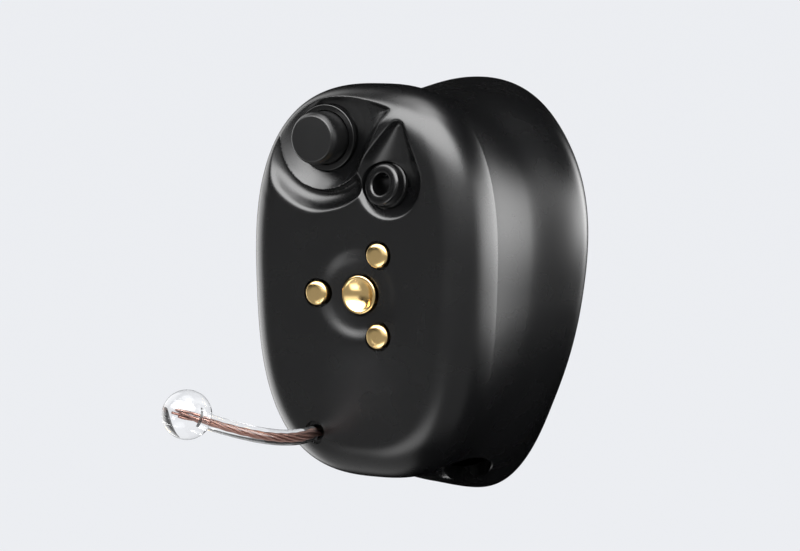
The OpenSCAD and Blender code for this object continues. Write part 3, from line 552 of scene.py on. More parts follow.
CONTACT_RING_R = 2.25
CONTACT_PLACES = [(0.0, 0.0)] + [(CONTACT_RING_R * math.cos(math.radians(a)),
                                  CONTACT_RING_R * math.sin(math.radians(a))) for a in (180, 60, -60)]
DISH_R = 2.5
DISH_DEPTH = 0.34
DISH_EDGE = 0.9

# Where the pockets may shape the face, and how softly their rims run into it
POCKETS_ABOVE = 2.8
POCKETS_BEFORE = 1.6
POCKETS_FADE = (-0.9, -0.5)
MOAT_MARGIN = 0.2
RIM_BLEND = 0.12
SOFT_BLEND = 0.2
SOFT_CORNER = (BUTTON[0] + 0.8, BUTTON[1] - 0.4)
SOFT_W = 1.5


def face_relief(x, z, depth):
    """The face's depth with its pockets and the shallow dish round the contacts."""
    r = np.hypot(x, z)
    dish = DISH_DEPTH * (1 - np.clip(r / DISH_R, 0, 1) ** 2)
    depth = depth + dish * smooth_step(-r, -DISH_R, -DISH_R + DISH_EDGE)
    near = (z > POCKETS_ABOVE) & (depth < POCKETS_BEFORE)
    deep = depth.copy()
    soft = smooth_step(SOFT_CORNER[0] - x, 0, SOFT_W) * smooth_step(SOFT_CORNER[1] - z, 0, SOFT_W)
    blend = RIM_BLEND + SOFT_BLEND * soft
    deep[near] = smooth_max(depth[near], pocket_depth(x[near], z[near]), blend[near])
    return mix(depth, deep, smooth_step(pocket_margin(x, z), *POCKETS_FADE))


def pocket_margin(x, z):
    """How far a place is inside the ground that the pockets may shape."""
    moat = MOAT_R + MOAT_MARGIN - from_button(x, z)
    pocket = outline_distance(x, z, POCKET_OUTLINE)
    return np.maximum(moat, np.maximum(tear_distance(x, z), pocket))


def uneven_angles(low, high, dense, rest):
    """Polar angles once round, closer together from low to high, in degrees."""
    near = np.linspace(math.radians(low), math.radians(high), dense, endpoint=False)
    far = np.linspace(math.radians(high), math.radians(low + 360), rest, endpoint=False)
    return np.concatenate([near, far])


# Holes in the face: radius and depth, cut from in front of it
CUT_FROM = -2
CUT_THROUGH = 4
WELL_BACK = 0.95
MIC_SEAT_R = 1.14
MIC_SEAT_BACK = 0.77
MIC_HOLE_R = 0.93
LINE_HOLE_R = 0.57
CONTACT_HOLE_RADII = (1.03, 0.72, 0.72, 0.72)
CONTACT_HOLE_BACK = 0.62


def cylinder_cutter(name, radius, end, matrix):
    return place(lathe(name, [(radius, CUT_FROM), (radius, end)], black_well), matrix)


# Steps of the face's skin: polar angles (where they are dense, in degrees, and how many there and
# elsewhere), shares of the way from the middle to the roll, and degrees over the roll
FACE_STEPS = (32, 153, 360, 120)
MIDDLE_FROM = 0.02
FINE_FROM = 0.42
MIDDLE_RINGS = 20
FINE_RINGS = 92
ROLL_FINE_TO = 60
ROLL_FINE_RINGS = 40
ROLL_RINGS = 12


def make_face():
    """The face module: rings of points from its middle over the rolled edge to the seam, and a
    flat back."""
    angles = uneven_angles(*FACE_STEPS)
    seam = STATIONS[0]
    rim = section(seam, angles, ROLL_W, 0.0)
    middle = np.linspace(MIDDLE_FROM, FINE_FROM, MIDDLE_RINGS, endpoint=False)
    fine = np.linspace(FINE_FROM, 1, FINE_RINGS, endpoint=False)
    rings = [rim * [share, 1, share] for share in [*middle, *fine]]
    roll = np.linspace(0, ROLL_FINE_TO, ROLL_FINE_RINGS, endpoint=False)
    for a in np.radians([*roll, *np.linspace(ROLL_FINE_TO, 90, ROLL_RINGS)]):
        rings.append(section(seam, angles, ROLL_W * (1 - math.sin(a)), CAP_DEPTH * (1 - math.cos(a))))
    front = np.array(rings)
    front[..., 1] = face_relief(front[..., 0], front[..., 2], front[..., 1])
    back = [section(seam, angles, WALL, CAP_DEPTH), section(seam, angles, WALL, PLATE_T),
            section(seam, angles, WALL * 2, PLATE_T) * [0.5, 1, 0.5]]
    points = np.concatenate([front.reshape(-1, 3), np.array(back).reshape(-1, 3)])
    count = len(rings) + len(back)
    n = len(angles)
    faces = grid_faces(count, n).tolist()
    faces.append(list(range(n)))
    faces.append([(count - 1) * n + j for j in reversed(range(n))])
    face = finish_mesh(new_piece("face_module", points, faces, black_face), 180)
    cutters = [cylinder_cutter("cut_well", WELL_R, WELL_BACK, at_face(*BUTTON)),
               cylinder_cutter("cut_mic", MIC_SEAT_R, MIC_SEAT_BACK, at_mic()),
               cylinder_cutter("cut_mic_deep", MIC_HOLE_R, CUT_THROUGH, at_mic()),
               cylinder_cutter("cut_line", LINE_HOLE_R, CUT_THROUGH, at_face(*LINE))]
    for i, (spot, radius) in enumerate(zip(CONTACT_PLACES, CONTACT_HOLE_RADII)):
        cutters.append(cylinder_cutter(f"cut_pin_{i}", radius, CONTACT_HOLE_BACK, at_face(*spot)))
    cut(face, cutters)
    return finish_mesh(face, 38)


# The vent runs straight from its scooped mouth under the bulge to the canal's tip
VENT_START = np.array([0.2 * BULGE_W, 0.81 * BULGE_DEPTH, -0.462 * BULGE_H])
VENT_END = np.array([-CANAL_REACH * math.sin(CANAL_YAW), SEAT_DEPTH + CANAL_REACH * math.cos(CANAL_YAW),
                     -0.2 * CANAL_H])
VENT_LENGTH = float(np.linalg.norm(VENT_END - VENT_START))
VENT_WAY = (VENT_END - VENT_START) / VENT_LENGTH
VENT_BEYOND = 3
VENT_R = 0.82
VENT_MOUTH_R = 1.2
VENT_MOUTH_END = 0.9
VENT_NARROW_FROM = 2.2

# The scoop round the vent's mouth, and how it fades across the vent and along it
SCOOP_R = 1.35
SCOOP_RISE = 3
SCOOP_BLEND = 0.14
SCOOP_LIFT = 0.04
SCOOP_FADE = (-SCOOP_R - 0.7, -SCOOP_R - 0.2)
SCOOP_RUN = (-3.2, -2.4)

# The sound outlet near the top of the canal's tip
OUTLET_UP = 0.2 * CANAL_H
OUTLET_R = 1.02
OUTLET_DEPTH = 1.8
OUTLET_BEYOND = 2

# Steps of the shell's skin: polar angles, as on the face, and station numbers
SHELL_STEPS = (-92, -50, 110, 170)
MOUTH_FROM = 1.2
MOUTH_TO = 2.8
SEAM_RINGS = 34
MOUTH_RINGS = 100
CANAL_RINGS = 110
TIP_ROOM = 0.12
TIP_RINGS = 8
CAVITY_ROOM = 0.35
CAVITY_RINGS = 40


def vent_matrix():
    """A lathe's axes laid along the vent, with 0 at its mouth."""
    turn = Vector((0, 1, 0)).rotation_difference(Vector(VENT_WAY)).to_matrix().to_4x4()
    return Matrix.Translation(Vector(VENT_START - [0, SEAT_DEPTH, 0]) * MM) @ turn


def scoop(points):
    """Presses the vent's mouth into the shell: points inside the mouth's ball slide along the vent."""
    off = points - VENT_START
    run = off @ VENT_WAY
    across = np.linalg.norm(off - run[..., None] * VENT_WAY, axis=-1)
    ball = np.sqrt(np.clip(SCOOP_R ** 2 - across ** 2, 0, None))
    ball = ball - np.clip(across - SCOOP_R, 0, None) * SCOOP_RISE
    slide = smooth_max(ball - run, np.zeros_like(run), SCOOP_BLEND) - SCOOP_LIFT
    near = smooth_step(-across, *SCOOP_FADE) * smooth_step(-np.abs(run), *SCOOP_RUN)
    return points + (np.maximum(slide, 0) * near)[..., None] * VENT_WAY


def make_shell():
    """The hollow ear shell: rings from the seam to the rounded tip, and back inside it."""
    angles = uneven_angles(*SHELL_STEPS)
    last = LAST - TIP_ROOM
    stations = [*np.linspace(0, MOUTH_FROM, SEAM_RINGS, endpoint=False),
                *np.linspace(MOUTH_FROM, MOUTH_TO, MOUTH_RINGS, endpoint=False),
                *np.linspace(MOUTH_TO, last, CANAL_RINGS)]
    outer = [scoop(section(station_at(s), angles)) for s in stations]
    for a in np.radians(np.linspace(15, 90, TIP_RINGS)):
        row = mix(station_at(last), station_at(LAST), math.sin(a))
        outer.append(section(row, angles, TIP_ROUND * (1 - math.cos(a))))
    cavity = np.linspace(LAST - CAVITY_ROOM, 0, CAVITY_RINGS)
    inner = [section(station_at(s), angles, WALL) for s in cavity]
    points = np.array(outer + inner).reshape(-1, 3)
    n = len(angles)
    m, k = len(outer), len(inner)
    faces = grid_faces(m, n).tolist() + grid_faces(k, n, m * n).tolist()
    faces.append([(m - 1) * n + j for j in reversed(range(n))])
    faces.append([m * n + j for j in range(n)])
    inner_seam = (m + k - 1) * n
    for j in range(n):
        beside = (j + 1) % n
        faces.append([inner_seam + j, j, beside, inner_seam + beside])
    shell = finish_mesh(new_piece("ear_shell", points, faces, black_shell), 50)
    bore = [(VENT_MOUTH_R, -VENT_BEYOND), (VENT_MOUTH_R, VENT_MOUTH_END), (VENT_R, VENT_NARROW_FROM),
            (VENT_R, VENT_LENGTH + VENT_BEYOND)]
    vent = place(lathe("cut_vent", bore, black_well, 64), vent_matrix())
    hole = [(OUTLET_R, -OUTLET_DEPTH), (OUTLET_R, OUTLET_BEYOND)]
    outlet = place(lathe("cut_outlet", hole, black_well, 64), at_canal(CANAL_REACH, OUTLET_UP))
    cut(shell, [vent, outlet])
    return finish_mesh(shell, 40)


# A lathe's profile starts this near its axis
AXIS = 0.001

BUTTON_PROUD = 0.8
BUTTON_R = 1.27
BUTTON_FACE_R = 1.1
BUTTON_SHOULDER = 0.26
BUTTON_BACK = 0.58


def make_button():
    """The push button, with a bevelled and rounded edge."""
    front = -BUTTON_PROUD
    profile = rounded([(AXIS, front, 0), (BUTTON_FACE_R, front, 0.06),
                       (BUTTON_R, front + BUTTON_SHOULDER, 0.12), (BUTTON_R, BUTTON_BACK, 0),
                       (AXIS, BUTTON_BACK, 0)])
    return place(lathe("push_button", profile, black_button, 128), at_face(*BUTTON))


# The contacts: their heads stand in the dish, and their tails run into the carrier
PIN_R = 0.6
PIN_TAIL_R = 0.3
PIN_FRONT = -0.2
PIN_FLAT_R = 0.36
PIN_EDGE = -0.12
HEAD_BACK = 0.6
TAIL_END = 2.82
CENTRE_R = 0.925
CENTRE_TAIL_R = 0.37
CENTRE_FRONT = 0.1
HOLLOW_R = 0.805
HOLLOW_DEPTH = 0.296


def make_pins():
    """Three charging pins: slightly domed heads with a rounded edge, and their tails."""
    profile = rounded([(AXIS, PIN_FRONT, 0), (PIN_FLAT_R, PIN_FRONT, 0.12), (PIN_R, PIN_EDGE, 0.12),
                       (PIN_R, HEAD_BACK, 0.02), (PIN_TAIL_R, HEAD_BACK, 0.02),
                       (PIN_TAIL_R, TAIL_END, 0.05), (AXIS, TAIL_END, 0)])
    pins = [place(lathe(f"pin_{i}", profile, gold, 72), at_face(*spot))
            for i, spot in enumerate(CONTACT_PLACES[1:])]
    return joined("charging_contacts", pins)


def make_centre_contact():
    """The hollow centre contact: a shallow bowl inside a narrow flat rim."""
    bowl = [(max(r, AXIS), CENTRE_FRONT + HOLLOW_DEPTH * (1 - (r / HOLLOW_R) ** 2))
            for r in np.linspace(0, HOLLOW_R - 0.01, 16)]
    rim = rounded([(*bowl[-1], 0), (HOLLOW_R + 0.02, CENTRE_FRONT - 0.005, 0.02),
                   (CENTRE_R, CENTRE_FRONT + 0.01, 0.05), (CENTRE_R, HEAD_BACK, 0.02),
                   (CENTRE_TAIL_R, HEAD_BACK, 0.02), (CENTRE_TAIL_R, TAIL_END, 0.05), (AXIS, TAIL_END, 0)])
    return place(lathe("bowl_contact", bowl[:-1] + rim, gold), at_face(0, 0))


COLLAR_BORE_R = 1.31
COLLAR_R = 1.6
COLLAR_FRONT = 0.5
COLLAR_BACK = 0.95


def make_collar():
    """The ring in the well round the button, with rounded edges."""
    middle = 0.7
    profile = rounded([(COLLAR_BORE_R, middle, 0), (COLLAR_BORE_R, COLLAR_BACK, 0.02),
                       (COLLAR_R, COLLAR_BACK, 0.02), (COLLAR_R, COLLAR_FRONT, 0.05),
                       (COLLAR_BORE_R, COLLAR_FRONT, 0.04), (COLLAR_BORE_R, middle, 0)])
    return place(lathe("button_ring", profile, black_ring, 128), at_face(*BUTTON))


MIC_BORE_R = 0.525
MIC_RING_R = 1.03
MIC_RING_BACK = 0.55
MIC_FLANGE_R = 1.1
MIC_FLANGE_BACK = 0.75
MIC_BARREL_R = 0.72
MIC_BARREL_END = 1.5


def make_mic_cover():
    """The microphone's cover: a round-edged ring, its rear flange and its barrel."""
    middle = 0.8
    profile = rounded([(MIC_BORE_R, middle, 0), (MIC_BORE_R, 0, 0.13), (MIC_RING_R, 0, 0.2),
                       (MIC_RING_R, MIC_RING_BACK, 0.02), (MIC_FLANGE_R, MIC_RING_BACK, 0.03),
                       (MIC_FLANGE_R, MIC_FLANGE_BACK, 0.02), (MIC_BARREL_R, MIC_FLANGE_BACK, 0.02),
                       (MIC_BARREL_R, MIC_BARREL_END, 0.02), (MIC_BORE_R, MIC_BARREL_END, 0.02),
                       (MIC_BORE_R, middle, 0)])
    return place(lathe("mic_ring", profile, black_ring, 128), at_mic())


def at_canal(reach, up):
    """The canal's axis: height runs towards the tip."""
    return Matrix.Rotation(CANAL_YAW, 4, "Z") @ Matrix.Translation(Vector((0, reach, up)) * MM)


GUARD_DEPTH = 1.4
GUARD_BORE_R = 0.35
GUARD_BARREL_R = 0.66
GUARD_FLANGE_R = 1.15
GUARD_FLANGE_BACK = 1.42
GUARD_END = 1.673


def make_wax_guard():
    """The white filter in the sound outlet, with its round-edged flange."""
    middle = 0.5
    profile = rounded([(GUARD_BORE_R, middle, 0), (GUARD_BORE_R, GUARD_END, 0.1),
                       (GUARD_FLANGE_R, GUARD_END, 0.1), (GUARD_FLANGE_R, GUARD_FLANGE_BACK, 0.06),
                       (GUARD_BARREL_R, GUARD_FLANGE_BACK, 0.03), (GUARD_BARREL_R, 0, 0.08),
                       (GUARD_BORE_R, 0, 0.05), (GUARD_BORE_R, middle, 0)])
    return place(lathe("wax_filter", profile, white_guard), at_canal(CANAL_REACH - GUARD_DEPTH, OUTLET_UP))


def joined(name, parts):
    """One piece from several, with their materials."""
    work = bmesh.new()
    for part in parts:
        work.from_mesh(part.data)
    mesh = bpy.data.meshes.new(name)
    work.to_mesh(mesh)
    work.free()
    mesh.materials.append(parts[0].data.materials[0])
    for part in parts:
        bpy.data.objects.remove(part)
    return finish_mesh(in_scene(name, mesh))


# The removal line: a clear line round a copper strand, with a clear ball on its end

LINE_ROUTE = [(0, 2.3, 0), (0, 1.1, 0), (0, 0, 0), (-0.02, -1.2, -0.04), (-0.12, -2.5, 0.06),
              (-0.36, -3.9, 0.3), (-0.74, -5.2, 0.64), (-1.28, -6.5, 1.08), (-2.1, -8, 1.7)]
LINE_R = 0.385
BALL_R = 1.175
BORE_R = 0.42
ROD_SHORT = 0.35
BORE_PAST_ROD = 0.06
STRANDS = 5
STRAND_R = 0.046
STRAND_SIDES = 10
LAY_R = 0.067
LAY_TURNS = 2.6
FRAY_LENGTH = 0.42
FRAY_SPREAD = 0.14
FRAY_FROM = 0.88
FRAY_STEPS = 5
FRAY_SEED = 4


def line_points(steps=10):
    """The line's route in face coordinates, as a smooth curve through its listed points."""
    p = np.array(LINE_ROUTE, float) + [LINE[0], 0, LINE[1]]
    last = len(p) - 1
    points = []
    for k in range(last * steps + 1):
        i = min(k // steps, last - 1)
        u = k / steps - i
        p0, p1, p2, p3 = p[max(i - 1, 0)], p[i], p[i + 1], p[min(i + 2, last)]
        points.append((2 * p1 + (p2 - p0) * u + (2 * p0 - 5 * p1 + 4 * p2 - p3) * u * u
                       + (3 * p1 - p0 - 3 * p2 + p3) * u ** 3) / 2)
    return np.array(points)


def path_piece(name, points):
    """A plain run of edges for the node trees to work on, in metres."""
    mesh = bpy.data.meshes.new(name)
    rows = ((points - [0, SEAT_DEPTH, 0]) * MM).tolist()
    mesh.from_pydata(rows, [(i, i + 1) for i in range(len(rows) - 1)], [])
    return in_scene(name, mesh)


def tree_with_inputs(name, inputs):
    """A node tree with a geometry, a material and its own inputs, of which each run gives the values."""
    tree = bpy.data.node_groups.new(name, "GeometryNodeTree")
    for label, kind in (("Geometry", GEOMETRY), *inputs, ("Material", MATERIAL)):
        tree.interface.new_socket(name=label, in_out="INPUT", socket_type=kind)
    tree.interface.new_socket(name="Geometry", in_out="OUTPUT", socket_type=GEOMETRY)
    return tree, tree.nodes.new("NodeGroupInput"), tree.nodes.new("NodeGroupOutput")


def end_tree(tree, given, out, geometry):
    """Every tree ends in Realize Instances and Set Material."""
    smooth = tree.nodes.new("GeometryNodeSetShadeSmooth")
    real = tree.nodes.new("GeometryNodeRealizeInstances")
    dressed = tree.nodes.new("GeometryNodeSetMaterial")
    tree.links.new(geometry, smooth.inputs["Geometry"])
    tree.links.new(smooth.outputs[0], real.inputs[0])
    tree.links.new(real.outputs[0], dressed.inputs["Geometry"])
    tree.links.new(given.outputs["Material"], dressed.inputs["Material"])
    tree.links.new(dressed.outputs[0], out.inputs[0])


def rod_tree():
    """A round rod along a path."""
    tree, given, out = tree_with_inputs("round rod", [("Radius", FLOAT), ("Sides", INT)])
    link = tree.links.new
    curve = tree.nodes.new("GeometryNodeMeshToCurve")
    ring = tree.nodes.new("GeometryNodeCurvePrimitiveCircle")
    sweep = tree.nodes.new("GeometryNodeCurveToMesh")
    sweep.inputs["Fill Caps"].default_value = True
    link(given.outputs["Geometry"], curve.inputs[0])
    link(given.outputs["Radius"], ring.inputs["Radius"])
    link(given.outputs["Sides"], ring.inputs["Resolution"])
    link(curve.outputs[0], sweep.inputs["Curve"])
    link(ring.outputs[0], sweep.inputs["Profile Curve"])
    end_tree(tree, given, out, sweep.outputs[0])
    return tree


def strand_tree():
    """Strands laid round each other along a path, which part at its end."""
    tree, given, out = tree_with_inputs("twisted strands", [
        ("Strands", INT), ("Strand Radius", FLOAT), ("Lay Radius", FLOAT), ("Turns", FLOAT),
        ("Fray", FLOAT), ("Fray From", FLOAT)])
    link = tree.links.new
    node = tree.nodes.new
    curve = node("GeometryNodeMeshToCurve")
    link(given.outputs["Geometry"], curve.inputs[0])
    along = node("GeometryNodeSplineParameter")
    whole = worked_out(tree, "MULTIPLY", given.outputs["Turns"], 2 * math.pi)
    turn = worked_out(tree, "MULTIPLY", along.outputs["Factor"], whole)
    tilt = node("GeometryNodeSetCurveTilt")
    link(curve.outputs[0], tilt.inputs["Curve"])
    link(turn, tilt.inputs["Tilt"])
    keep_share = node("GeometryNodeStoreNamedAttribute")
    keep_share.data_type = "FLOAT"
    keep_share.domain = "POINT"
    keep_share.inputs["Name"].default_value = "share_along"
    link(tilt.outputs[0], keep_share.inputs["Geometry"])
    link(along.outputs["Factor"], keep_share.inputs["Value"])
    lay = node("GeometryNodeCurvePrimitiveCircle")
    link(given.outputs["Strands"], lay.inputs["Resolution"])
    link(given.outputs["Lay Radius"], lay.inputs["Radius"])
    strand = node("GeometryNodeCurvePrimitiveCircle")
    strand.inputs["Resolution"].default_value = STRAND_SIDES
    link(given.outputs["Strand Radius"], strand.inputs["Radius"])
    number = node("GeometryNodeInputIndex")
    keep_number = node("GeometryNodeStoreNamedAttribute")
    keep_number.data_type = "INT"
    keep_number.domain = "POINT"
    keep_number.inputs["Name"].default_value = "strand_number"
    link(lay.outputs[0], keep_number.inputs["Geometry"])
    link(number.outputs[0], keep_number.inputs["Value"])
    each = node("GeometryNodeInstanceOnPoints")
    link(keep_number.outputs[0], each.inputs["Points"])
    link(strand.outputs[0], each.inputs["Instance"])
    rings = node("GeometryNodeRealizeInstances")
    link(each.outputs[0], rings.inputs[0])
    sweep = node("GeometryNodeCurveToMesh")
    sweep.inputs["Fill Caps"].default_value = True
    link(keep_share.outputs[0], sweep.inputs["Curve"])
    link(rings.outputs[0], sweep.inputs["Profile Curve"])
    share = node("GeometryNodeInputNamedAttribute")
    share.data_type = "FLOAT"
    share.inputs["Name"].default_value = "share_along"
    which = node("GeometryNodeInputNamedAttribute")
    which.data_type = "INT"
    which.inputs["Name"].default_value = "strand_number"
    part = node("ShaderNodeMapRange")
    part.interpolation_type = "SMOOTHSTEP"
    part.inputs["From Max"].default_value = 1.0
    part.inputs["To Min"].default_value = 0.0
    link(share.outputs[0], part.inputs["Value"])
    link(given.outputs["Fray From"], part.inputs["From Min"])
    link(given.outputs["Fray"], part.inputs["To Max"])
    way = node("FunctionNodeRandomValue")
    way.data_type = "FLOAT_VECTOR"
    way.inputs["Min"].default_value = (-1, -1, -1)
    way.inputs["Seed"].default_value = FRAY_SEED
    link(which.outputs[0], way.inputs["ID"])
    spread = node("ShaderNodeVectorMath")
    spread.operation = "SCALE"
    link(way.outputs[0], spread.inputs[0])
    link(part.outputs[0], spread.inputs["Scale"])
    moved = node("GeometryNodeSetPosition")
    link(sweep.outputs[0], moved.inputs["Geometry"])
    link(spread.outputs[0], moved.inputs["Offset"])
    end_tree(tree, given, out, moved.outputs[0])
    return tree


def run_tree(piece, tree, values):
    """Runs a node tree on a piece with its inputs set, and keeps the plain mesh."""
    step = piece.modifiers.new("shape", "NODES")
    step.node_group = tree
    for socket in tree.interface.items_tree:
        if socket.in_out == "INPUT" and socket.name in values:
            step[socket.identifier] = values[socket.name]
    return apply_modifiers(piece)


def make_clear_line():
    """The clear rod, which ends short of the ball's middle, and the ball with the rod's bore."""
    points = line_points()
    ball_centre = points[-1]
    entry = points[-12] - ball_centre
    entry = entry / np.linalg.norm(entry)
    rod_path = np.array([q for q in points if (q - ball_centre) @ entry > ROD_SHORT])
    rod = run_tree(path_piece("rod", rod_path), rod_tree(),
                   {"Radius": LINE_R * MM, "Sides": 40, "Material": clear_nylon})
    ball_mesh = bpy.data.meshes.new("ball")
    work = bmesh.new()
    bmesh.ops.create_icosphere(work, subdivisions=5, radius=BALL_R * MM)
    work.to_mesh(ball_mesh)
    work.free()
    ball_mesh.materials.append(clear_nylon)
    ball = in_scene("ball", ball_mesh)
    aim = Vector((0, 1, 0)).rotation_difference(Vector(entry)).to_matrix().to_4x4()
    bore = [(BORE_R, ROD_SHORT - BORE_PAST_ROD), (BORE_R, 2 * BALL_R)]
    cut(ball, [place(lathe("ball_bore", bore, clear_nylon, 48), aim)])
    place(ball, Matrix.Translation(Vector(ball_centre - np.array([0, SEAT_DEPTH, 0])) * MM))
    return joined("clear_line_and_ball", [rod, ball])


def make_copper_core():
    """The copper strands: they run through the line and part beyond its end, inside the ball."""
    points = line_points()
    along = points[-1] - points[-4]
    along = along / np.linalg.norm(along)
    tip = [points[-1] + along * FRAY_LENGTH * k / FRAY_STEPS for k in range(1, FRAY_STEPS + 1)]
    path = np.concatenate([points, tip])
    core = run_tree(path_piece("copper_strands", path), strand_tree(),
                    {"Strands": STRANDS, "Strand Radius": STRAND_R * MM, "Lay Radius": LAY_R * MM,
                     "Turns": LAY_TURNS, "Fray": FRAY_SPREAD * MM, "Fray From": FRAY_FROM,
                     "Material": copper})
    return finish_mesh(core, 60)


# The photograph's camera, worked out from the contacts and the housing's outline

VIEW_TURN = math.radians(29.5)
VIEW_RISE = math.radians(5.4)
VIEW_DISTANCE = 150.0
PIXEL = 0.048
PICTURE_W = 800
SENSOR_W = 36.0
AIM = ((357.2 - 400) * PIXEL, (275.5 - 295.2) * PIXEL)


def make_camera():
    level = math.cos(VIEW_RISE)
    forward = Vector((-math.sin(VIEW_TURN) * level, math.cos(VIEW_TURN) * level, -math.sin(VIEW_RISE)))
    right = Vector((math.cos(VIEW_TURN), math.sin(VIEW_TURN), 0))
    up = right.cross(forward)
    spot = -VIEW_DISTANCE * forward - AIM[0] * right - AIM[1] * up - Vector((0, SEAT_DEPTH, 0))
    data = bpy.data.cameras.new("camera")
    data.sensor_width = SENSOR_W
    data.lens = VIEW_DISTANCE / (PIXEL * PICTURE_W) * SENSOR_W
    data.clip_start = 0.01
    data.clip_end = 30
    camera = in_scene("camera", data)
    turn = Matrix((right, up, -forward)).transposed().to_4x4()
    camera.matrix_world = Matrix.Translation(spot * MM) @ turn
    bpy.context.scene.camera = camera


BACKDROP = (0.841, 0.856, 0.888)
FLOOR_DROP = 0.12
FLOOR_SIZE = 60.0
FLOOR_GLOW = 1.02
FLOOR_SHOWN = 0.94
ROOM_LIGHT = 0.75

# Panels of light that only the glossy surfaces mirror: azimuth from the front towards the right and
# elevation, each from and to in degrees, then the softness of the edges in azimuth and in
# elevation, and the strength
PANELS = {
    "key": (-36, 78, 26, 68, 7, 7, 13.5),
    "key's edge": (-66, -36, 24, 62, 6, 6, 8.0),
    "zenith": (-200, 200, 72, 110, 1, 8, 4.5),
    "top": (5, 120, 64, 89, 10, 8, 5.0),
    "right": (99, 170, -6, 15, 17, 9, 9.0),
    "front": (-15, 98, 4, 26, 12, 8, 1.5),
    "round": (-125, 90, -50, 6, 12, 12, 0.36),
    "left": (-130, -84, -40, 50, 7, 8, 2.0),
    "low": (-30, 16, -48, -26, 8, 8, 2.6),
    "bench": (-140, 5, -90, -48, 12, 12, 0.6),
}


def studio_group():
    """How strong the studio's panels of light are in a direction."""
    group = bpy.data.node_groups.new("studio panels", "ShaderNodeTree")
    group.interface.new_socket(name="Direction", in_out="INPUT", socket_type=VECTOR)
    group.interface.new_socket(name="Strength", in_out="OUTPUT", socket_type=FLOAT)
    link = group.links.new

    def edge(value, middle, soft, rises):
        node = group.nodes.new("ShaderNodeMapRange")
        node.interpolation_type = "SMOOTHSTEP"
        link(value, node.inputs["Value"])
        node.inputs["From Min"].default_value = math.radians(middle - soft)
        node.inputs["From Max"].default_value = math.radians(middle + soft)
        node.inputs["To Min"].default_value = 0 if rises else 1
        node.inputs["To Max"].default_value = 1 if rises else 0
        return node.outputs[0]

    given = group.nodes.new("NodeGroupInput")
    unit = group.nodes.new("ShaderNodeVectorMath")
    unit.operation = "NORMALIZE"
    link(given.outputs[0], unit.inputs[0])
    split = group.nodes.new("ShaderNodeSeparateXYZ")
    link(unit.outputs[0], split.inputs[0])
    forward = worked_out(group, "MULTIPLY", split.outputs[1], -1.0)
    azimuth = worked_out(group, "ARCTAN2", split.outputs[0], forward)
    elevation = worked_out(group, "ARCSINE", split.outputs[2])
    total = None
    for az_from, az_to, el_from, el_to, az_soft, el_soft, strength in PANELS.values():
        panel = edge(azimuth, az_from, az_soft, True)
        panel = worked_out(group, "MULTIPLY", panel, edge(azimuth, az_to, az_soft, False))
        panel = worked_out(group, "MULTIPLY", panel, edge(elevation, el_from, el_soft, True))
        panel = worked_out(group, "MULTIPLY", panel, edge(elevation, el_to, el_soft, False))
        panel = worked_out(group, "MULTIPLY", panel, strength)
        total = panel if total is None else worked_out(group, "ADD", total, panel)
    out = group.nodes.new("NodeGroupOutput")
    link(total, out.inputs[0])
    return group


def softbox(name, direction, distance, size, power):
    """A soft lamp in a direction from the object: right, back and up are positive. No surface
    mirrors it."""
    spot = Vector(direction).normalized() * distance
    data = bpy.data.lights.new(name, "AREA")
    data.shape = "RECTANGLE"
    data.size, data.size_y = size
    data.energy = power
    lamp = in_scene(name, data)
    lamp.location = spot
    lamp.rotation_euler = (-spot).to_track_quat("-Z", "Y").to_euler()
    lamp.visible_glossy = False


def shown_by_ray(tree, panels, where, source, lit, out, shown=1.0):
    """Shows the panels of light to glossy rays, the pale background to rays from the camera or
    through clear pieces, by the share shown, and what is lit to all others."""
    link = tree.links.new
    pale = tree.nodes.new(source)
    pale.inputs["Color"].default_value = (*BACKDROP, 1)
    mirrored = tree.nodes.new(source)
    studio = tree.nodes.new("ShaderNodeGroup")
    studio.node_tree = panels
    link(where, studio.inputs[0])
    link(studio.outputs[0], mirrored.inputs["Strength"])
    ray = tree.nodes.new("ShaderNodeLightPath").outputs
    direct = worked_out(tree, "MAXIMUM", ray["Is Camera Ray"], ray["Is Transmission Ray"])
    share = worked_out(tree, "MULTIPLY", direct, shown)
    inner = tree.nodes.new("ShaderNodeMixShader")
    outer = tree.nodes.new("ShaderNodeMixShader")
    link(ray["Is Glossy Ray"], inner.inputs[0])
    link(lit.outputs[0], inner.inputs[1])
    link(mirrored.outputs[0], inner.inputs[2])
    link(share, outer.inputs[0])
    link(inner.outputs[0], outer.inputs[1])
    link(pale.outputs[0], outer.inputs[2])
    link(outer.outputs[0], out.inputs[0])
    return pale


def make_world(panels):
    world = bpy.data.worlds.new("studio")
    world.use_nodes = True
    bpy.context.scene.world = world
    tree = world.node_tree
    tree.nodes.clear()
    out = tree.nodes.new("ShaderNodeOutputWorld")
    plain = tree.nodes.new("ShaderNodeBackground")
    plain.inputs["Strength"].default_value = ROOM_LIGHT
    where = tree.nodes.new("ShaderNodeTexCoord").outputs["Generated"]
    shown_by_ray(tree, panels, where, "ShaderNodeBackground", plain, out)


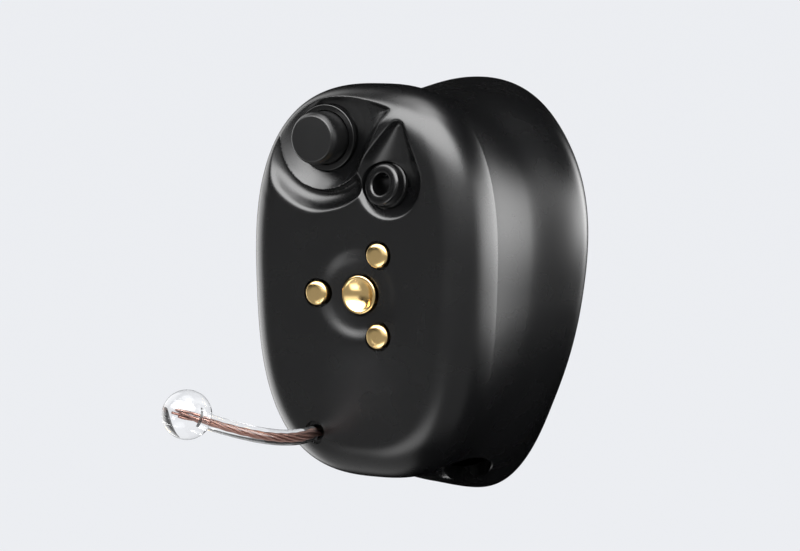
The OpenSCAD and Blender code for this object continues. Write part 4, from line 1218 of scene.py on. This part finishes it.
def make_floor(panels):
    """A pale floor far below: it shows the backdrop's colour and keeps a faint shadow."""
    half = FLOOR_SIZE / 2
    corners = [(-half, -half), (half, -half), (half, half), (-half, half)]
    mesh = bpy.data.meshes.new("floor")
    mesh.from_pydata([(x, y, -FLOOR_DROP) for x, y in corners], [], [(0, 1, 2, 3)])
    floor = in_scene("floor", mesh)
    material = bpy.data.materials.new("pale floor")
    material.use_nodes = True
    tree = material.node_tree
    tree.nodes.clear()
    out = tree.nodes.new("ShaderNodeOutputMaterial")
    matt = tree.nodes.new("ShaderNodeBsdfDiffuse")
    matt.inputs[0].default_value = (*BACKDROP, 1)
    where = tree.nodes.new("ShaderNodeNewGeometry").outputs["Position"]
    pale = shown_by_ray(tree, panels, where, "ShaderNodeEmission", matt, out, FLOOR_SHOWN)
    pale.inputs["Strength"].default_value = FLOOR_GLOW
    mesh.materials.append(material)


def make_studio():
    bpy.context.scene.view_settings.view_transform = "Standard"
    panels = studio_group()
    make_world(panels)
    make_floor(panels)
    softbox("key", direction=(0.5, -0.55, 0.8), distance=0.35, size=(0.2, 0.16), power=0.9)
    softbox("side", direction=(1, 0.25, 0.15), distance=0.35, size=(0.14, 0.14), power=0.35)


make_studio()
make_camera()
dress_cad_nodes()


def add(piece, slot, body, *nodes):
    """Puts a piece in its nodes' place, with its body. The material slot is not used."""
    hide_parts(*nodes)
    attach(piece, body)


add(make_face(), "face_plastic", "housing", "faceplate")
add(make_shell(), "shell_plastic", "housing", "shell")
add(make_button(), "button_plastic", "button", "button_cap")
add(make_collar(), "button_plastic", "housing", "button_collar")
add(make_mic_cover(), "button_plastic", "mic_cover", "mic_cover")
add(make_pins(), "gold", "housing", "charging_pins")
add(make_centre_contact(), "gold", "housing", "centre_contact")
add(make_wax_guard(), "guard_white", "wax_guard", "wax_guard")

# The clear line with its ball, and the copper strands inside it, in place of their nodes
clear_line = make_clear_line()
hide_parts("pull_line", "pull_ball")
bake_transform(clear_line)
core = make_copper_core()
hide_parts("antenna_wire")
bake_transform(core)
